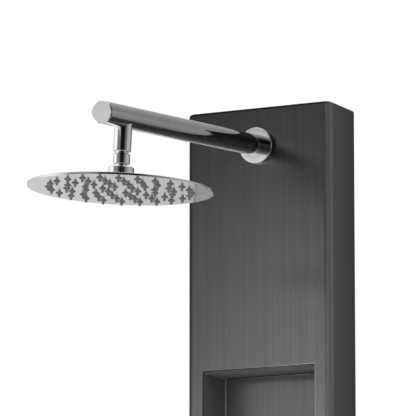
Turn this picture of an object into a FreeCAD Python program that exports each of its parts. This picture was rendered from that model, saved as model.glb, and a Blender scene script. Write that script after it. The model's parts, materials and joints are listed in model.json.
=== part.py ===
import FreeCAD, Part
import math
import os

# Wall shower panel: a folded steel column with a niche, a straight arm that carries a round rain head
# on a ball joint, and a single-lever mixer set into the front below the niche.
# Frame: millimetres, +Z up, +X to the right seen from the front, the front faces -Y.
# The wall is the plane Y = 0 and the origin is the centre of the four wall screw holes.

# Fits shared by all pieces
FIT = 0.05
BALL_FIT = 0.1
SEAT_GAP = 0.3
OVERRUN = 5.0

# Folded front panel; its width follows from the niche
PANEL_DEPTH = 66.5
PANEL_HEIGHT = 1300.0
PANEL_SHEET = 1.5
PANEL_BEND_RADIUS = 9.0
PANEL_HEM = 12.0

# Niche
NICHE_WIDTH = 141.5
NICHE_HEIGHT = 300.0
NICHE_DEPTH = 58.0
NICHE_TOP_DROP = 305.0
NICHE_SHEET = 1.2
NICHE_FLANGE = 8.0
NICHE_SIDE_MARGIN = 21.25

# Wall brackets and the screws that hold the panel on them
BRACKET_LENGTH = 140.0
BRACKET_SHEET = 2.0
BRACKET_BACK_HEIGHT = 45.0
BRACKET_TAB_DEPTH = 24.0
WALL_HOLE_SPAN = 110.0
WALL_HOLE_DROP = 26.0
WALL_HOLE_RADIUS = 3.25
FIXING_DISTANCE = 92.0
FIXING_INSET = 13.0
FIXING_RADIUS = 1.5
FIXING_LENGTH = 8.0
FIXING_CLEARANCE = 0.2
FIXING_HEAD_RADIUS = 2.85
FIXING_HEAD_HEIGHT = 1.65
FIXING_HEAD_CHAMFER = 0.6
FIXING_SOCKET_RADIUS = 1.0
FIXING_SOCKET_DEPTH = 1.0

# Arm
ARM_AXIS_DROP = 45.5
ARM_DROOP_DEG = 4.7
ARM_REACH = 387.0
ARM_RADIUS = 12.5
ARM_WALL = 1.5
ARM_CAP_THICKNESS = 2.5
ARM_CAP_PLUG = 7.0
ARM_CAP_WALL = 2.0
ARM_CAP_CHAMFER = 1.0
ARM_SOCKET_DEPTH = 2.0
FLANGE_RADIUS = 21.0
FLANGE_THICKNESS = 7.0
FLANGE_CHAMFER = 0.8
SHANK_RADIUS = 10.0
SHANK_LENGTH = 22.0
SHANK_BORE_RADIUS = 7.0
ARM_GASKET_RADIUS = 17.0
ARM_GASKET_THICKNESS = 1.0
ARM_HOLE_CLEARANCE = 0.4
ARM_WASHER_RADIUS = 17.5
ARM_WASHER_THICKNESS = 1.5
ARM_NUT_FLATS = 30.0
ARM_NUT_THICKNESS = 6.0

# Outlet stub under the arm, with the lean of everything that hangs from it
OUTLET_END_INSET = 52.0
OUTLET_LEAN_DEG = 3.0
STUB_RADIUS = 9.8
STUB_DROP = 38.8
STUB_WATER_RADIUS = 5.0
STUB_THREAD_RADIUS = 8.3
STUB_THREAD_LENGTH = 10.0
STUB_EDGE = 0.5
CONNECTOR_WASHER_THICKNESS = 1.5
CONNECTOR_WASHER_BORE_RADIUS = 5.5

# Ball connector
GROOVE_HEIGHT = 2.2
GROOVE_RADIUS = 7.0
GRIP_HEIGHT = 11.9
GRIP_RADIUS = 9.2
GRIP_CHAMFER = 0.9
NECK_HEIGHT = 3.1
NECK_RADIUS = 6.3
BALL_RADIUS = 10.0
BALL_FLAT_DROP = 8.0
BALL_BORE_RADIUS = 3.5

# Ball seats, collar and hub of the head
SEAT_THICKNESS = 1.5
SEAT_LOW_DEG = 6.0
SEAT_HIGH_DEG = 30.0
SEAL_TOP_DROP = 1.7
COLLAR_RADIUS = 14.15
COLLAR_RISE = 9.0
COLLAR_MOUTH_RADIUS = 9.8
COLLAR_CHAMFER = 0.8
HUB_TOP_DROP = 6.0
HUB_BORE_RADIUS = 5.0
HUB_FLANGE_RADIUS = 19.0
HUB_FLANGE_THICKNESS = 1.7
HUB_FLANGE_CHAMFER = 0.6
HUB_BALL_CLEARANCE = 0.4
HEAD_PLATE_DROP = 13.2

# Rain head
HEAD_RADIUS = 101.5
HEAD_RIM_HEIGHT = 2.6
HEAD_SHEET = 0.8
HEAD_RIM_CHAMFER = 0.4
MAT_RADIUS = 95.0
MAT_THICKNESS = 0.5
NOZZLE_RING_STEP = 19.5
NOZZLES_PER_STEP = 6
NOZZLE_RING_PHASES_DEG = (40.0, 11.0, 1.5, 11.5)
NOZZLE_STEM_RADIUS = 2.0
NOZZLE_BASE_RADIUS = 4.0
NOZZLE_WAIST_RADIUS = 1.6
NOZZLE_WAIST_DROP = 1.4
NOZZLE_TIP_RADIUS = 1.0
NOZZLE_LENGTH = 4.3
NOZZLE_BORE_RADIUS = 0.5

# Riser pipe from the mixer up to the arm
PIPE_RADIUS = 6.0
PIPE_WALL = 1.0
PIPE_BEND_RADIUS = 18.0
PIPE_INSET = 32.0
PIPE_SEAT_DEPTH = 10.0
PIPE_JOG_DROP = 65.0
FITTING_RADIUS = 10.0
FITTING_NUT_FLATS = 24.0
FITTING_NUT_GRIP = 8.0
FITTING_NUT_WALL = 3.0
FERRULE_LENGTH = 4.0
FERRULE_RADIUS = 8.5
PIPE_CLIP_LENGTH = 12.0
PIPE_CLIP_WALL = 1.5
PIPE_CLIP_DROPS = (190.0, 520.0)

# Elbow on the arm shank
ELBOW_RADIUS = 13.5
ELBOW_START = 10.0
ELBOW_THREAD_LENGTH = 12.5
ELBOW_END = 46.0
ELBOW_FLOOR = 5.0
ELBOW_ARM = 27.0

# Mixer
MIXER_DROP = 850.0
BODY_RADIUS = 24.0
BODY_DEPTH = 46.0
NECK_TUBE_RADIUS = 21.0
NECK_TUBE_REACH = 12.0
MIXER_HOLE_CLEARANCE = 0.4
MIXER_GASKET_THICKNESS = 1.0
RING_NUT_RADIUS = 28.0
RING_NUT_HEIGHT = 5.0
COVER_RADIUS = 35.0
COVER_HEIGHT = 9.0
COVER_WALL = 1.5
COVER_CHAMFER = 1.5
SLEEVE_RADIUS = 24.0
SLEEVE_MOUTH_RADIUS = 16.0
CARTRIDGE_RADIUS = 17.5
CARTRIDGE_DEPTH = 26.0
CARTRIDGE_FLANGE_RADIUS = 19.0
CARTRIDGE_FLANGE_THICKNESS = 2.0
CARTRIDGE_NUT_HEIGHT = 3.5
CARTRIDGE_NUT_BORE_RADIUS = 12.5
CARRIER_RADIUS = 12.2
CARRIER_TOP_REACH = 20.0
CARRIER_SHANK_RADIUS = 9.0
CARRIER_SHANK_DEPTH = 2.0
CARRIER_SLOT_WIDTH = 8.4
CARRIER_SLOT_HEIGHT = 17.2
CARRIER_SLOT_FLOOR = 3.0
STEM_SIZE = 8.0
STEM_TAIL = 8.0
STEM_REACH = 45.0
PIVOT_PIN_RADIUS = 1.5
PIVOT_PIN_LENGTH = 20.0
PORT_RADIUS = 4.0
PORT_OFFSET = 9.0
INLET_SPAN = 52.0
INLET_LEG_RADIUS = 12.5
INLET_LEG_DROP = 48.0
INLET_WATER_RADIUS = 6.0
NIPPLE_THREAD_RADIUS = 9.0
NIPPLE_THREAD_LENGTH = 10.0
NIPPLE_SEAL_THICKNESS = 1.5
NIPPLE_FLATS = 24.0
NIPPLE_HEX_HEIGHT = 6.0
NIPPLE_TAIL_RADIUS = 10.48
NIPPLE_TAIL_LENGTH = 14.0
NIPPLE_TAIL_CHAMFER = 1.0
OUTLET_RISE = 44.0

# Lever handle
CAP_GAP = 0.4
CAP_WALL = 2.6
CAP_RIM_DEG = 68.0
HANDLE_HUB_RADIUS = 13.0
HANDLE_TOP_REACH = 50.0
HANDLE_HUB_CHAMFER = 1.5
LEVER_LENGTH = 80.0
LEVER_WIDTH = 15.0
LEVER_THICKNESS = 8.0
LEVER_EDGE = 1.5
GRUB_RADIUS = 2.5
GRUB_LENGTH = 6.0
GRUB_HEIGHT_REACH = 41.0
GRUB_KEY_RADIUS = 1.2
GRUB_KEY_DEPTH = 2.0

# Places that follow from the sizes above
UP = FreeCAD.Vector(0, 0, 1)
RIGHT = FreeCAD.Vector(1, 0, 0)
BACK = FreeCAD.Vector(0, 1, 0)
ORIGIN = FreeCAD.Vector(0, 0, 0)
RIGHT_ANGLE = 90
FULL_TURN = 360
PANEL_WIDTH = NICHE_WIDTH + 2 * NICHE_SIDE_MARGIN
PANEL_TOP = PANEL_HEIGHT / 2
ARM_AXIS_Z = PANEL_TOP - ARM_AXIS_DROP
MIXER_Z = PANEL_TOP - MIXER_DROP
NICHE_TOP = PANEL_TOP - NICHE_TOP_DROP
NICHE_BOTTOM = NICHE_TOP - NICHE_HEIGHT
INNER_HALF_WIDTH = PANEL_WIDTH / 2 - PANEL_SHEET
NICHE_OUTER_HALF_WIDTH = NICHE_WIDTH / 2 + NICHE_SHEET
PIPE_X = (INNER_HALF_WIDTH + NICHE_OUTER_HALF_WIDTH) / 2
PIPE_JOG_Z = NICHE_BOTTOM - PIPE_JOG_DROP
ARM_DROOP = math.radians(ARM_DROOP_DEG)
ARM_DIRECTION = FreeCAD.Vector(0, -math.cos(ARM_DROOP), -math.sin(ARM_DROOP))
OUTLET_REACH = ARM_REACH - OUTLET_END_INSET
CONNECTOR_GRIP_TOP = -STUB_DROP - GROOVE_HEIGHT
CONNECTOR_GRIP_BOTTOM = CONNECTOR_GRIP_TOP - GRIP_HEIGHT
BALL_Z = CONNECTOR_GRIP_BOTTOM - NECK_HEIGHT - COLLAR_RISE
HEAD_TOP_Z = BALL_Z - HEAD_PLATE_DROP
HEAD_FACE_Z = HEAD_TOP_Z - HEAD_RIM_HEIGHT
FACE_PLATE_TOP_Z = HEAD_FACE_Z + HEAD_SHEET
SEAT_INNER_RADIUS = BALL_RADIUS + BALL_FIT
SEAT_OUTER_RADIUS = SEAT_INNER_RADIUS + SEAT_THICKNESS
COLLAR_BORE_RADIUS = SEAT_OUTER_RADIUS + SEAT_GAP
CARTRIDGE_FLANGE_TOP = NECK_TUBE_REACH - CARTRIDGE_NUT_HEIGHT
SLEEVE_BORE_RADIUS = NECK_TUBE_RADIUS + FIT
CAP_INNER_RADIUS = SLEEVE_RADIUS + CAP_GAP
CAP_OUTER_RADIUS = CAP_INNER_RADIUS + CAP_WALL


def at(x, reach, z):
    """Point a given distance in front of the panel's front plane; a negative reach is behind it."""
    return FreeCAD.Vector(x, -PANEL_DEPTH - reach, z)


def block(low, high):
    """Box between two corners."""
    size = high - low
    return Part.makeBox(size.x, size.y, size.z, low)


def rod(radius, start, end):
    """Round bar from one point to another."""
    along = end - start
    return Part.makeCylinder(radius, along.Length, start, along)


def tube(outer_radius, inner_radius, start, end):
    """Round bar with a bore along its whole length."""
    return rod(outer_radius, start, end).cut(rod(inner_radius, start, end))


def hexagon(flats, start, end):
    """Hexagonal bar, with the width across its flats, from one point to another."""
    corner_radius = flats / math.sqrt(3)
    along = end - start
    corners = []
    for index in range(7):
        angle = math.radians(FULL_TURN / 6 * index)
        corners.append(FreeCAD.Vector(corner_radius * math.cos(angle), corner_radius * math.sin(angle), 0))
    bar = Part.Face(Part.makePolygon(corners)).extrude(UP * along.Length)
    bar.Placement = FreeCAD.Placement(start, FreeCAD.Rotation(UP, along))
    return bar


def turned(corners):
    """Turned solid about Z. A corner is (radius, height), with a point on the arc that ends there, if any."""
    edges = []
    last = corners[-1]
    for corner in corners:
        start = FreeCAD.Vector(last[0], 0, last[1])
        end = FreeCAD.Vector(corner[0], 0, corner[1])
        if len(corner) > 2:
            middle = FreeCAD.Vector(corner[2][0], 0, corner[2][1])
            edges.append(Part.Arc(start, middle, end).toShape())
        else:
            edges.append(Part.LineSegment(start, end).toShape())
        last = corner
    return Part.Face(Part.Wire(edges)).revolve(ORIGIN, UP, FULL_TURN)


def on_sphere(radius, latitude_deg):
    """Radius and height of a point on a sphere about the origin."""
    latitude = math.radians(latitude_deg)
    return (radius * math.cos(latitude), radius * math.sin(latitude))


def facing_front(shape, height):
    """Turns a piece modelled along +Z to stand on the front plane, pointing forward, at a height."""
    placed = shape.copy()
    placed.rotate(ORIGIN, RIGHT, RIGHT_ANGLE)
    placed.translate(at(0, 0, height))
    return placed


def along_arm(distance):
    """Point on the arm's axis, measured from the front plane."""
    return at(0, 0, ARM_AXIS_Z) + ARM_DIRECTION * distance


def hung(shape, height=0):
    """Places a piece modelled about the outlet's axis, with its origin a given height from the arm's axis."""
    placed = shape.copy()
    placed.translate(UP * height)
    placed.rotate(ORIGIN, BACK, OUTLET_LEAN_DEG)
    placed.translate(along_arm(OUTLET_REACH))
    return placed


def panel_section(inset, hem):
    """Plan of the folded sheet, moved in by inset; a hem opens its back between two flanges."""
    half = PANEL_WIDTH / 2
    radius = PANEL_BEND_RADIUS - inset
    middle = radius * math.sqrt(0.5)
    bend_x = half - PANEL_BEND_RADIUS
    bend_y = PANEL_BEND_RADIUS - PANEL_DEPTH
    back_y = -inset
    side_x = half - inset
    edges = [
        Part.LineSegment(FreeCAD.Vector(-side_x, back_y, 0), FreeCAD.Vector(-side_x, bend_y, 0)),
        Part.Arc(
            FreeCAD.Vector(-side_x, bend_y, 0),
            FreeCAD.Vector(-bend_x - middle, bend_y - middle, 0),
            FreeCAD.Vector(-bend_x, bend_y - radius, 0),
        ),
        Part.LineSegment(
            FreeCAD.Vector(-bend_x, bend_y - radius, 0), FreeCAD.Vector(bend_x, bend_y - radius, 0)
        ),
        Part.Arc(
            FreeCAD.Vector(bend_x, bend_y - radius, 0),
            FreeCAD.Vector(bend_x + middle, bend_y - middle, 0),
            FreeCAD.Vector(side_x, bend_y, 0),
        ),
        Part.LineSegment(FreeCAD.Vector(side_x, bend_y, 0), FreeCAD.Vector(side_x, back_y, 0)),
    ]
    if hem:
        lip_x = half - hem
        right_half = [(side_x, back_y), (lip_x, back_y), (lip_x, 0)]
        corners = right_half + [(-x, y) for x, y in reversed(right_half)]
    else:
        corners = [(side_x, back_y), (-side_x, back_y)]
    for start, end in zip(corners, corners[1:]):
        edges.append(Part.LineSegment(FreeCAD.Vector(*start, 0), FreeCAD.Vector(*end, 0)))
    return Part.Face(Part.Wire([edge.toShape() for edge in edges]))


def front_panel():
    """Folded column with closed ends, the niche opening and holes for the arm, mixer and screws."""
    shell = panel_section(0, 0).extrude(UP * PANEL_HEIGHT)
    hollow = panel_section(PANEL_SHEET, PANEL_HEM).extrude(UP * (PANEL_HEIGHT - 2 * PANEL_SHEET))
    hollow.translate(UP * PANEL_SHEET)
    shell = shell.cut(hollow)
    shell.translate(UP * -PANEL_TOP)
    niche_hole = block(
        at(-NICHE_WIDTH / 2, OVERRUN, NICHE_BOTTOM), at(NICHE_WIDTH / 2, -PANEL_BEND_RADIUS, NICHE_TOP)
    )
    arm_hole_radius = SHANK_RADIUS + ARM_HOLE_CLEARANCE
    arm_hole = rod(arm_hole_radius, at(0, OVERRUN, ARM_AXIS_Z), at(0, -PANEL_BEND_RADIUS, ARM_AXIS_Z))
    mixer_hole_radius = NECK_TUBE_RADIUS + MIXER_HOLE_CLEARANCE
    mixer_hole = rod(mixer_hole_radius, at(0, OVERRUN, MIXER_Z), at(0, -PANEL_BEND_RADIUS, MIXER_Z))
    cuts = [niche_hole, arm_hole, mixer_hole]
    for x in (-FIXING_DISTANCE / 2, FIXING_DISTANCE / 2):
        foot = FreeCAD.Vector(x, -FIXING_INSET, -PANEL_TOP - OVERRUN)
        cuts.append(rod(FIXING_RADIUS + FIXING_CLEARANCE, foot, foot + UP * (PANEL_HEIGHT + 2 * OVERRUN)))
    return shell.cut(cuts)


def niche_box():
    """Tray welded behind the front opening by a flange round its mouth."""
    half = NICHE_OUTER_HALF_WIDTH
    lip = half + NICHE_FLANGE
    rim_rise = NICHE_SHEET + NICHE_FLANGE
    tray = block(
        at(-half, -PANEL_SHEET, NICHE_BOTTOM - NICHE_SHEET),
        at(half, -NICHE_DEPTH - NICHE_SHEET, NICHE_TOP + NICHE_SHEET),
    )
    flange = block(
        at(-lip, -PANEL_SHEET, NICHE_BOTTOM - rim_rise),
        at(lip, -PANEL_SHEET - NICHE_SHEET, NICHE_TOP + rim_rise),
    )
    room = block(at(-NICHE_WIDTH / 2, OVERRUN, NICHE_BOTTOM), at(NICHE_WIDTH / 2, -NICHE_DEPTH, NICHE_TOP))
    return tray.fuse(flange).cut(room)


def upper_wall_bracket():
    """Angle strip: its back is screwed to the wall and its tab carries the panel's top plate."""
    half = BRACKET_LENGTH / 2
    top = PANEL_TOP - PANEL_SHEET
    back = block(
        FreeCAD.Vector(-half, -BRACKET_SHEET, top - BRACKET_BACK_HEIGHT), FreeCAD.Vector(half, 0, top)
    )
    tab = block(FreeCAD.Vector(-half, -BRACKET_TAB_DEPTH, top - BRACKET_SHEET), FreeCAD.Vector(half, 0, top))
    cuts = []
    for side in (-1, 1):
        wall_hole = FreeCAD.Vector(side * WALL_HOLE_SPAN / 2, 0, top - WALL_HOLE_DROP)
        cuts.append(rod(WALL_HOLE_RADIUS, wall_hole - BACK * OVERRUN, wall_hole + BACK * OVERRUN))
        tapped_hole = FreeCAD.Vector(side * FIXING_DISTANCE / 2, -FIXING_INSET, top)
        cuts.append(rod(FIXING_RADIUS + FIT, tapped_hole - UP * OVERRUN, tapped_hole + UP * OVERRUN))
    return back.fuse(tab).cut(cuts)


def fixing_screw():
    """Pan-head screw with a driver socket, its head resting on Z = 0."""
    return turned(
        [
            (0, -FIXING_LENGTH),
            (FIXING_RADIUS, -FIXING_LENGTH),
            (FIXING_RADIUS, 0),
            (FIXING_HEAD_RADIUS, 0),
            (FIXING_HEAD_RADIUS, FIXING_HEAD_HEIGHT - FIXING_HEAD_CHAMFER),
            (FIXING_HEAD_RADIUS - FIXING_HEAD_CHAMFER, FIXING_HEAD_HEIGHT),
            (FIXING_SOCKET_RADIUS, FIXING_HEAD_HEIGHT),
            (FIXING_SOCKET_RADIUS, FIXING_HEAD_HEIGHT - FIXING_SOCKET_DEPTH),
            (0, FIXING_HEAD_HEIGHT - FIXING_SOCKET_DEPTH),
        ]
    )


def panel_fixing_screws():
    """Two screws down through the top plate and two up through the bottom plate."""
    screws = []
    for side in (-1, 1):
        screw = fixing_screw()
        screw.translate(FreeCAD.Vector(side * FIXING_DISTANCE / 2, -FIXING_INSET, PANEL_TOP))
        screws.append(screw)
        screws.append(screw.mirror(ORIGIN, UP))
    return Part.makeCompound(screws)


def arm_bar(radius, start, end):
    """Round bar along the arm's axis between two distances from the front plane."""
    return rod(radius, along_arm(start), along_arm(end))


def behind_front():
    """Block that fills the upper half of the panel, behind its front plane."""
    half = PANEL_WIDTH / 2
    return block(at(-half, 0, 0), at(half, -PANEL_DEPTH, PANEL_TOP))


def square_to_arm(shape):
    """Places a solid turned about Z along the arm's axis, with its origin on the front plane."""
    shape.Placement = FreeCAD.Placement(along_arm(0), FreeCAD.Rotation(UP, ARM_DIRECTION))
    return shape


def arm_flange():
    """Round wall flange, square to the drooping arm, with a threaded shank and a socket for the tube."""
    disc = turned(
        [
            (0, -FLANGE_RADIUS),
            (FLANGE_RADIUS, -FLANGE_RADIUS),
            (FLANGE_RADIUS, FLANGE_THICKNESS - FLANGE_CHAMFER),
            (FLANGE_RADIUS - FLANGE_CHAMFER, FLANGE_THICKNESS),
            (0, FLANGE_THICKNESS),
        ]
    )
    socket_floor = FLANGE_THICKNESS - ARM_SOCKET_DEPTH
    shank_end = at(0, -SHANK_LENGTH, ARM_AXIS_Z)
    gasket_seat = rod(ARM_GASKET_RADIUS + FIT, shank_end, at(0, ARM_GASKET_THICKNESS, ARM_AXIS_Z))
    shank = rod(SHANK_RADIUS, shank_end, at(0, socket_floor, ARM_AXIS_Z))
    bore = rod(SHANK_BORE_RADIUS, shank_end, at(0, FLANGE_THICKNESS, ARM_AXIS_Z))
    socket = arm_bar(ARM_RADIUS + FIT, socket_floor, ARM_REACH)
    return square_to_arm(disc).cut([behind_front(), gasket_seat]).fuse(shank).cut([bore, socket])


def arm_gasket():
    """Flat rubber ring let into the back of the flange."""
    inner = SHANK_RADIUS + FIT
    ring = tube(ARM_GASKET_RADIUS, inner, at(0, 0, ARM_AXIS_Z), at(0, ARM_GASKET_THICKNESS, ARM_AXIS_Z))
    return ring


def arm_tube():
    """Straight arm, let into the flange and pierced above the outlet stub."""
    start = FLANGE_THICKNESS - ARM_SOCKET_DEPTH
    end = ARM_REACH - ARM_CAP_THICKNESS
    outer = arm_bar(ARM_RADIUS, start, end)
    inner = arm_bar(ARM_RADIUS - ARM_WALL, start, end)
    water_hole = hung(rod(STUB_WATER_RADIUS, UP * 0, UP * -STUB_DROP))
    return outer.cut([inner, water_hole])


def arm_end_cap():
    """Flat cap on the arm's free end, with a hollow plug inside the tube."""
    disc_start = ARM_REACH - ARM_CAP_THICKNESS
    plug_start = disc_start - ARM_CAP_PLUG
    plug_radius = ARM_RADIUS - ARM_WALL - FIT
    cap = turned(
        [
            (0, disc_start),
            (plug_radius - ARM_CAP_WALL, disc_start),
            (plug_radius - ARM_CAP_WALL, plug_start),
            (plug_radius, plug_start),
            (plug_radius, disc_start),
            (ARM_RADIUS, disc_start),
            (ARM_RADIUS, ARM_REACH - ARM_CAP_CHAMFER),
            (ARM_RADIUS - ARM_CAP_CHAMFER, ARM_REACH),
            (0, ARM_REACH),
        ]
    )
    return square_to_arm(cap)


def arm_washer():
    """Steel washer behind the panel sheet."""
    start = -PANEL_SHEET
    end = start - ARM_WASHER_THICKNESS
    return tube(ARM_WASHER_RADIUS, SHANK_RADIUS + FIT, at(0, start, ARM_AXIS_Z), at(0, end, ARM_AXIS_Z))


def arm_lock_nut():
    """Hexagon nut that pulls the flange against the panel."""
    start = at(0, -PANEL_SHEET - ARM_WASHER_THICKNESS, ARM_AXIS_Z)
    end = start + BACK * ARM_NUT_THICKNESS
    return hexagon(ARM_NUT_FLATS, start, end).cut(rod(SHANK_RADIUS + FIT, start, end))


def arm_elbow():
    """Brass elbow screwed on the shank, with a side arm for the riser pipe."""
    start = at(0, -ELBOW_START, ARM_AXIS_Z)
    thread_end = start + BACK * ELBOW_THREAD_LENGTH
    end = at(0, -ELBOW_END, ARM_AXIS_Z)
    centre = at(0, -PIPE_INSET, ARM_AXIS_Z)
    mouth = centre + RIGHT * ELBOW_ARM
    body = rod(ELBOW_RADIUS, start, end).fuse(rod(FITTING_RADIUS, centre, mouth))
    cuts = [
        rod(SHANK_RADIUS + FIT, start, thread_end),
        rod(SHANK_BORE_RADIUS, start, end - BACK * ELBOW_FLOOR),
        rod(PIPE_RADIUS - PIPE_WALL, centre, mouth),
        rod(PIPE_RADIUS + FIT, mouth - RIGHT * PIPE_SEAT_DEPTH, mouth),
    ]
    return body.cut(cuts)


def arm_outlet_stub():
    """Sleeve brazed under the arm, saddle-cut to it and threaded for the ball connector."""
    thread_top = -STUB_DROP + STUB_THREAD_LENGTH + CONNECTOR_WASHER_THICKNESS
    sleeve = turned(
        [
            (STUB_WATER_RADIUS, 0),
            (STUB_WATER_RADIUS, thread_top),
            (STUB_THREAD_RADIUS, thread_top),
            (STUB_THREAD_RADIUS, -STUB_DROP),
            (STUB_RADIUS - STUB_EDGE, -STUB_DROP),
            (STUB_RADIUS, -STUB_DROP + STUB_EDGE),
            (STUB_RADIUS, 0),
        ]
    )
    saddle = arm_bar(ARM_RADIUS + FIT, 0, ARM_REACH)
    return hung(sleeve).cut(saddle)


def connector_washer():
    """Rubber washer between the stub's shoulder and the ball connector."""
    bottom = -STUB_DROP + STUB_THREAD_LENGTH
    top = bottom + CONNECTOR_WASHER_THICKNESS
    return hung(tube(STUB_THREAD_RADIUS - FIT, CONNECTOR_WASHER_BORE_RADIUS, UP * bottom, UP * top))


def ball_connector():
    """Threaded shank, groove, round grip, neck and ball, bored for the water."""
    top = -STUB_DROP + STUB_THREAD_LENGTH
    thread_radius = STUB_THREAD_RADIUS - FIT
    spindle = turned(
        [
            (0, top),
            (thread_radius, top),
            (thread_radius, -STUB_DROP),
            (GROOVE_RADIUS, -STUB_DROP),
            (GROOVE_RADIUS, CONNECTOR_GRIP_TOP),
            (GRIP_RADIUS - GRIP_CHAMFER, CONNECTOR_GRIP_TOP),
            (GRIP_RADIUS, CONNECTOR_GRIP_TOP - GRIP_CHAMFER),
            (GRIP_RADIUS, CONNECTOR_GRIP_BOTTOM + GRIP_CHAMFER),
            (GRIP_RADIUS - GRIP_CHAMFER, CONNECTOR_GRIP_BOTTOM),
            (NECK_RADIUS, CONNECTOR_GRIP_BOTTOM),
            (NECK_RADIUS, BALL_Z),
            (0, BALL_Z),
        ]
    )
    ball = Part.makeSphere(BALL_RADIUS, UP * BALL_Z)
    flat_z = BALL_Z - BALL_FLAT_DROP
    trim = rod(BALL_RADIUS, UP * flat_z, UP * (flat_z - BALL_RADIUS))
    bore = rod(BALL_BORE_RADIUS, UP * top, UP * (flat_z - OVERRUN))
    return hung(spindle.fuse(ball).cut([trim, bore]))


def ball_seat():
    """Upper plastic ring between the ball and the collar, round inside and outside."""
    middle_deg = (SEAT_LOW_DEG + SEAT_HIGH_DEG) / 2
    inner_low = on_sphere(SEAT_INNER_RADIUS, SEAT_LOW_DEG)
    inner_high = on_sphere(SEAT_INNER_RADIUS, SEAT_HIGH_DEG)
    outer_high = on_sphere(SEAT_OUTER_RADIUS, SEAT_HIGH_DEG)
    outer_low = on_sphere(SEAT_OUTER_RADIUS, SEAT_LOW_DEG)
    inner_middle = on_sphere(SEAT_INNER_RADIUS, middle_deg)
    outer_middle = on_sphere(SEAT_OUTER_RADIUS, middle_deg)
    ring = turned([inner_low, (*inner_high, inner_middle), outer_high, (*outer_low, outer_middle)])
    return hung(ring, BALL_Z)


def ball_seal():
    """Lower rubber ring that seals the ball against the hub."""
    ring = rod(COLLAR_BORE_RADIUS - BALL_FIT, UP * -SEAL_TOP_DROP, UP * (BALL_FIT - HUB_TOP_DROP))
    return hung(ring.cut(Part.makeSphere(SEAT_INNER_RADIUS)), BALL_Z)


def head_collar():
    """Round collar that traps the ball and screws on the hub."""
    bottom = HUB_FLANGE_THICKNESS - HEAD_PLATE_DROP
    mouth_deg = math.degrees(math.acos(COLLAR_MOUTH_RADIUS / COLLAR_BORE_RADIUS))
    mouth = on_sphere(COLLAR_BORE_RADIUS, mouth_deg)
    collar = turned(
        [
            (COLLAR_BORE_RADIUS, bottom),
            (COLLAR_RADIUS, bottom),
            (COLLAR_RADIUS, COLLAR_RISE - COLLAR_CHAMFER),
            (COLLAR_RADIUS - COLLAR_CHAMFER, COLLAR_RISE),
            (COLLAR_MOUTH_RADIUS, COLLAR_RISE),
            mouth,
            (COLLAR_BORE_RADIUS, 0, on_sphere(COLLAR_BORE_RADIUS, mouth_deg / 2)),
        ]
    )
    return hung(collar, BALL_Z)


def head_hub():
    """Threaded boss on the head's top plate, hollowed under the ball."""
    flange_top = HUB_FLANGE_THICKNESS - HEAD_PLATE_DROP
    boss_radius = COLLAR_BORE_RADIUS - FIT
    boss = turned(
        [
            (HUB_BORE_RADIUS, -HEAD_PLATE_DROP),
            (HUB_FLANGE_RADIUS, -HEAD_PLATE_DROP),
            (HUB_FLANGE_RADIUS, flange_top - HUB_FLANGE_CHAMFER),
            (HUB_FLANGE_RADIUS - HUB_FLANGE_CHAMFER, flange_top),
            (boss_radius, flange_top),
            (boss_radius, -HUB_TOP_DROP),
            (HUB_BORE_RADIUS, -HUB_TOP_DROP),
        ]
    )
    return hung(boss.cut(Part.makeSphere(BALL_RADIUS + HUB_BALL_CLEARANCE)), BALL_Z)


def head_top_plate():
    """Thin round pan with a turned-down rim and the water hole under the hub."""
    inner_radius = HEAD_RADIUS - HEAD_SHEET
    inner_z = HEAD_TOP_Z - HEAD_SHEET
    pan = turned(
        [
            (HUB_BORE_RADIUS, inner_z),
            (inner_radius, inner_z),
            (inner_radius, HEAD_FACE_Z),
            (HEAD_RADIUS, HEAD_FACE_Z),
            (HEAD_RADIUS, HEAD_TOP_Z - HEAD_RIM_CHAMFER),
            (HEAD_RADIUS - HEAD_RIM_CHAMFER, HEAD_TOP_Z),
            (HUB_BORE_RADIUS, HEAD_TOP_Z),
        ]
    )
    return hung(pan)


def nozzle_places():
    """Centres of the nozzles: rings at equal steps, each with one more set than the ring inside it."""
    places = []
    for ring, phase in enumerate(NOZZLE_RING_PHASES_DEG, start=1):
        count = NOZZLES_PER_STEP * ring
        for index in range(count):
            angle = math.radians(phase + FULL_TURN / count * index)
            radius = NOZZLE_RING_STEP * ring
            places.append(FreeCAD.Vector(radius * math.cos(angle), radius * math.sin(angle), 0))
    return places


def head_face_plate():
    """Polished round plate closing the pan from below, pierced for the nozzles."""
    plate = rod(HEAD_RADIUS - HEAD_SHEET - FIT, UP * HEAD_FACE_Z, UP * FACE_PLATE_TOP_Z)
    hole = rod(NOZZLE_STEM_RADIUS + FIT, UP * (HEAD_FACE_Z - OVERRUN), UP * (FACE_PLATE_TOP_Z + OVERRUN))
    holes = []
    for place in nozzle_places():
        copy = hole.copy()
        copy.translate(place)
        holes.append(copy)
    return hung(plate.cut(holes))


def nozzle_mat():
    """Silicone mat behind the face plate whose flared nozzles come through it."""
    mat_top = FACE_PLATE_TOP_Z + MAT_THICKNESS
    mat = rod(MAT_RADIUS, UP * FACE_PLATE_TOP_Z, UP * mat_top)
    tip_z = HEAD_FACE_Z - NOZZLE_LENGTH
    nozzle = turned(
        [
            (NOZZLE_BORE_RADIUS, mat_top),
            (NOZZLE_BORE_RADIUS, tip_z),
            (NOZZLE_TIP_RADIUS, tip_z),
            (NOZZLE_WAIST_RADIUS, HEAD_FACE_Z - NOZZLE_WAIST_DROP),
            (NOZZLE_BASE_RADIUS, HEAD_FACE_Z),
            (NOZZLE_STEM_RADIUS, HEAD_FACE_Z),
            (NOZZLE_STEM_RADIUS, mat_top),
        ]
    )
    seat = rod(NOZZLE_STEM_RADIUS, UP * FACE_PLATE_TOP_Z, UP * mat_top)
    seats = []
    nozzles = []
    for place in nozzle_places():
        for shape, copies in ((seat, seats), (nozzle, nozzles)):
            copy = shape.copy()
            copy.translate(place)
            copies.append(copy)
    return hung(mat.cut(seats).fuse(nozzles))


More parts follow.
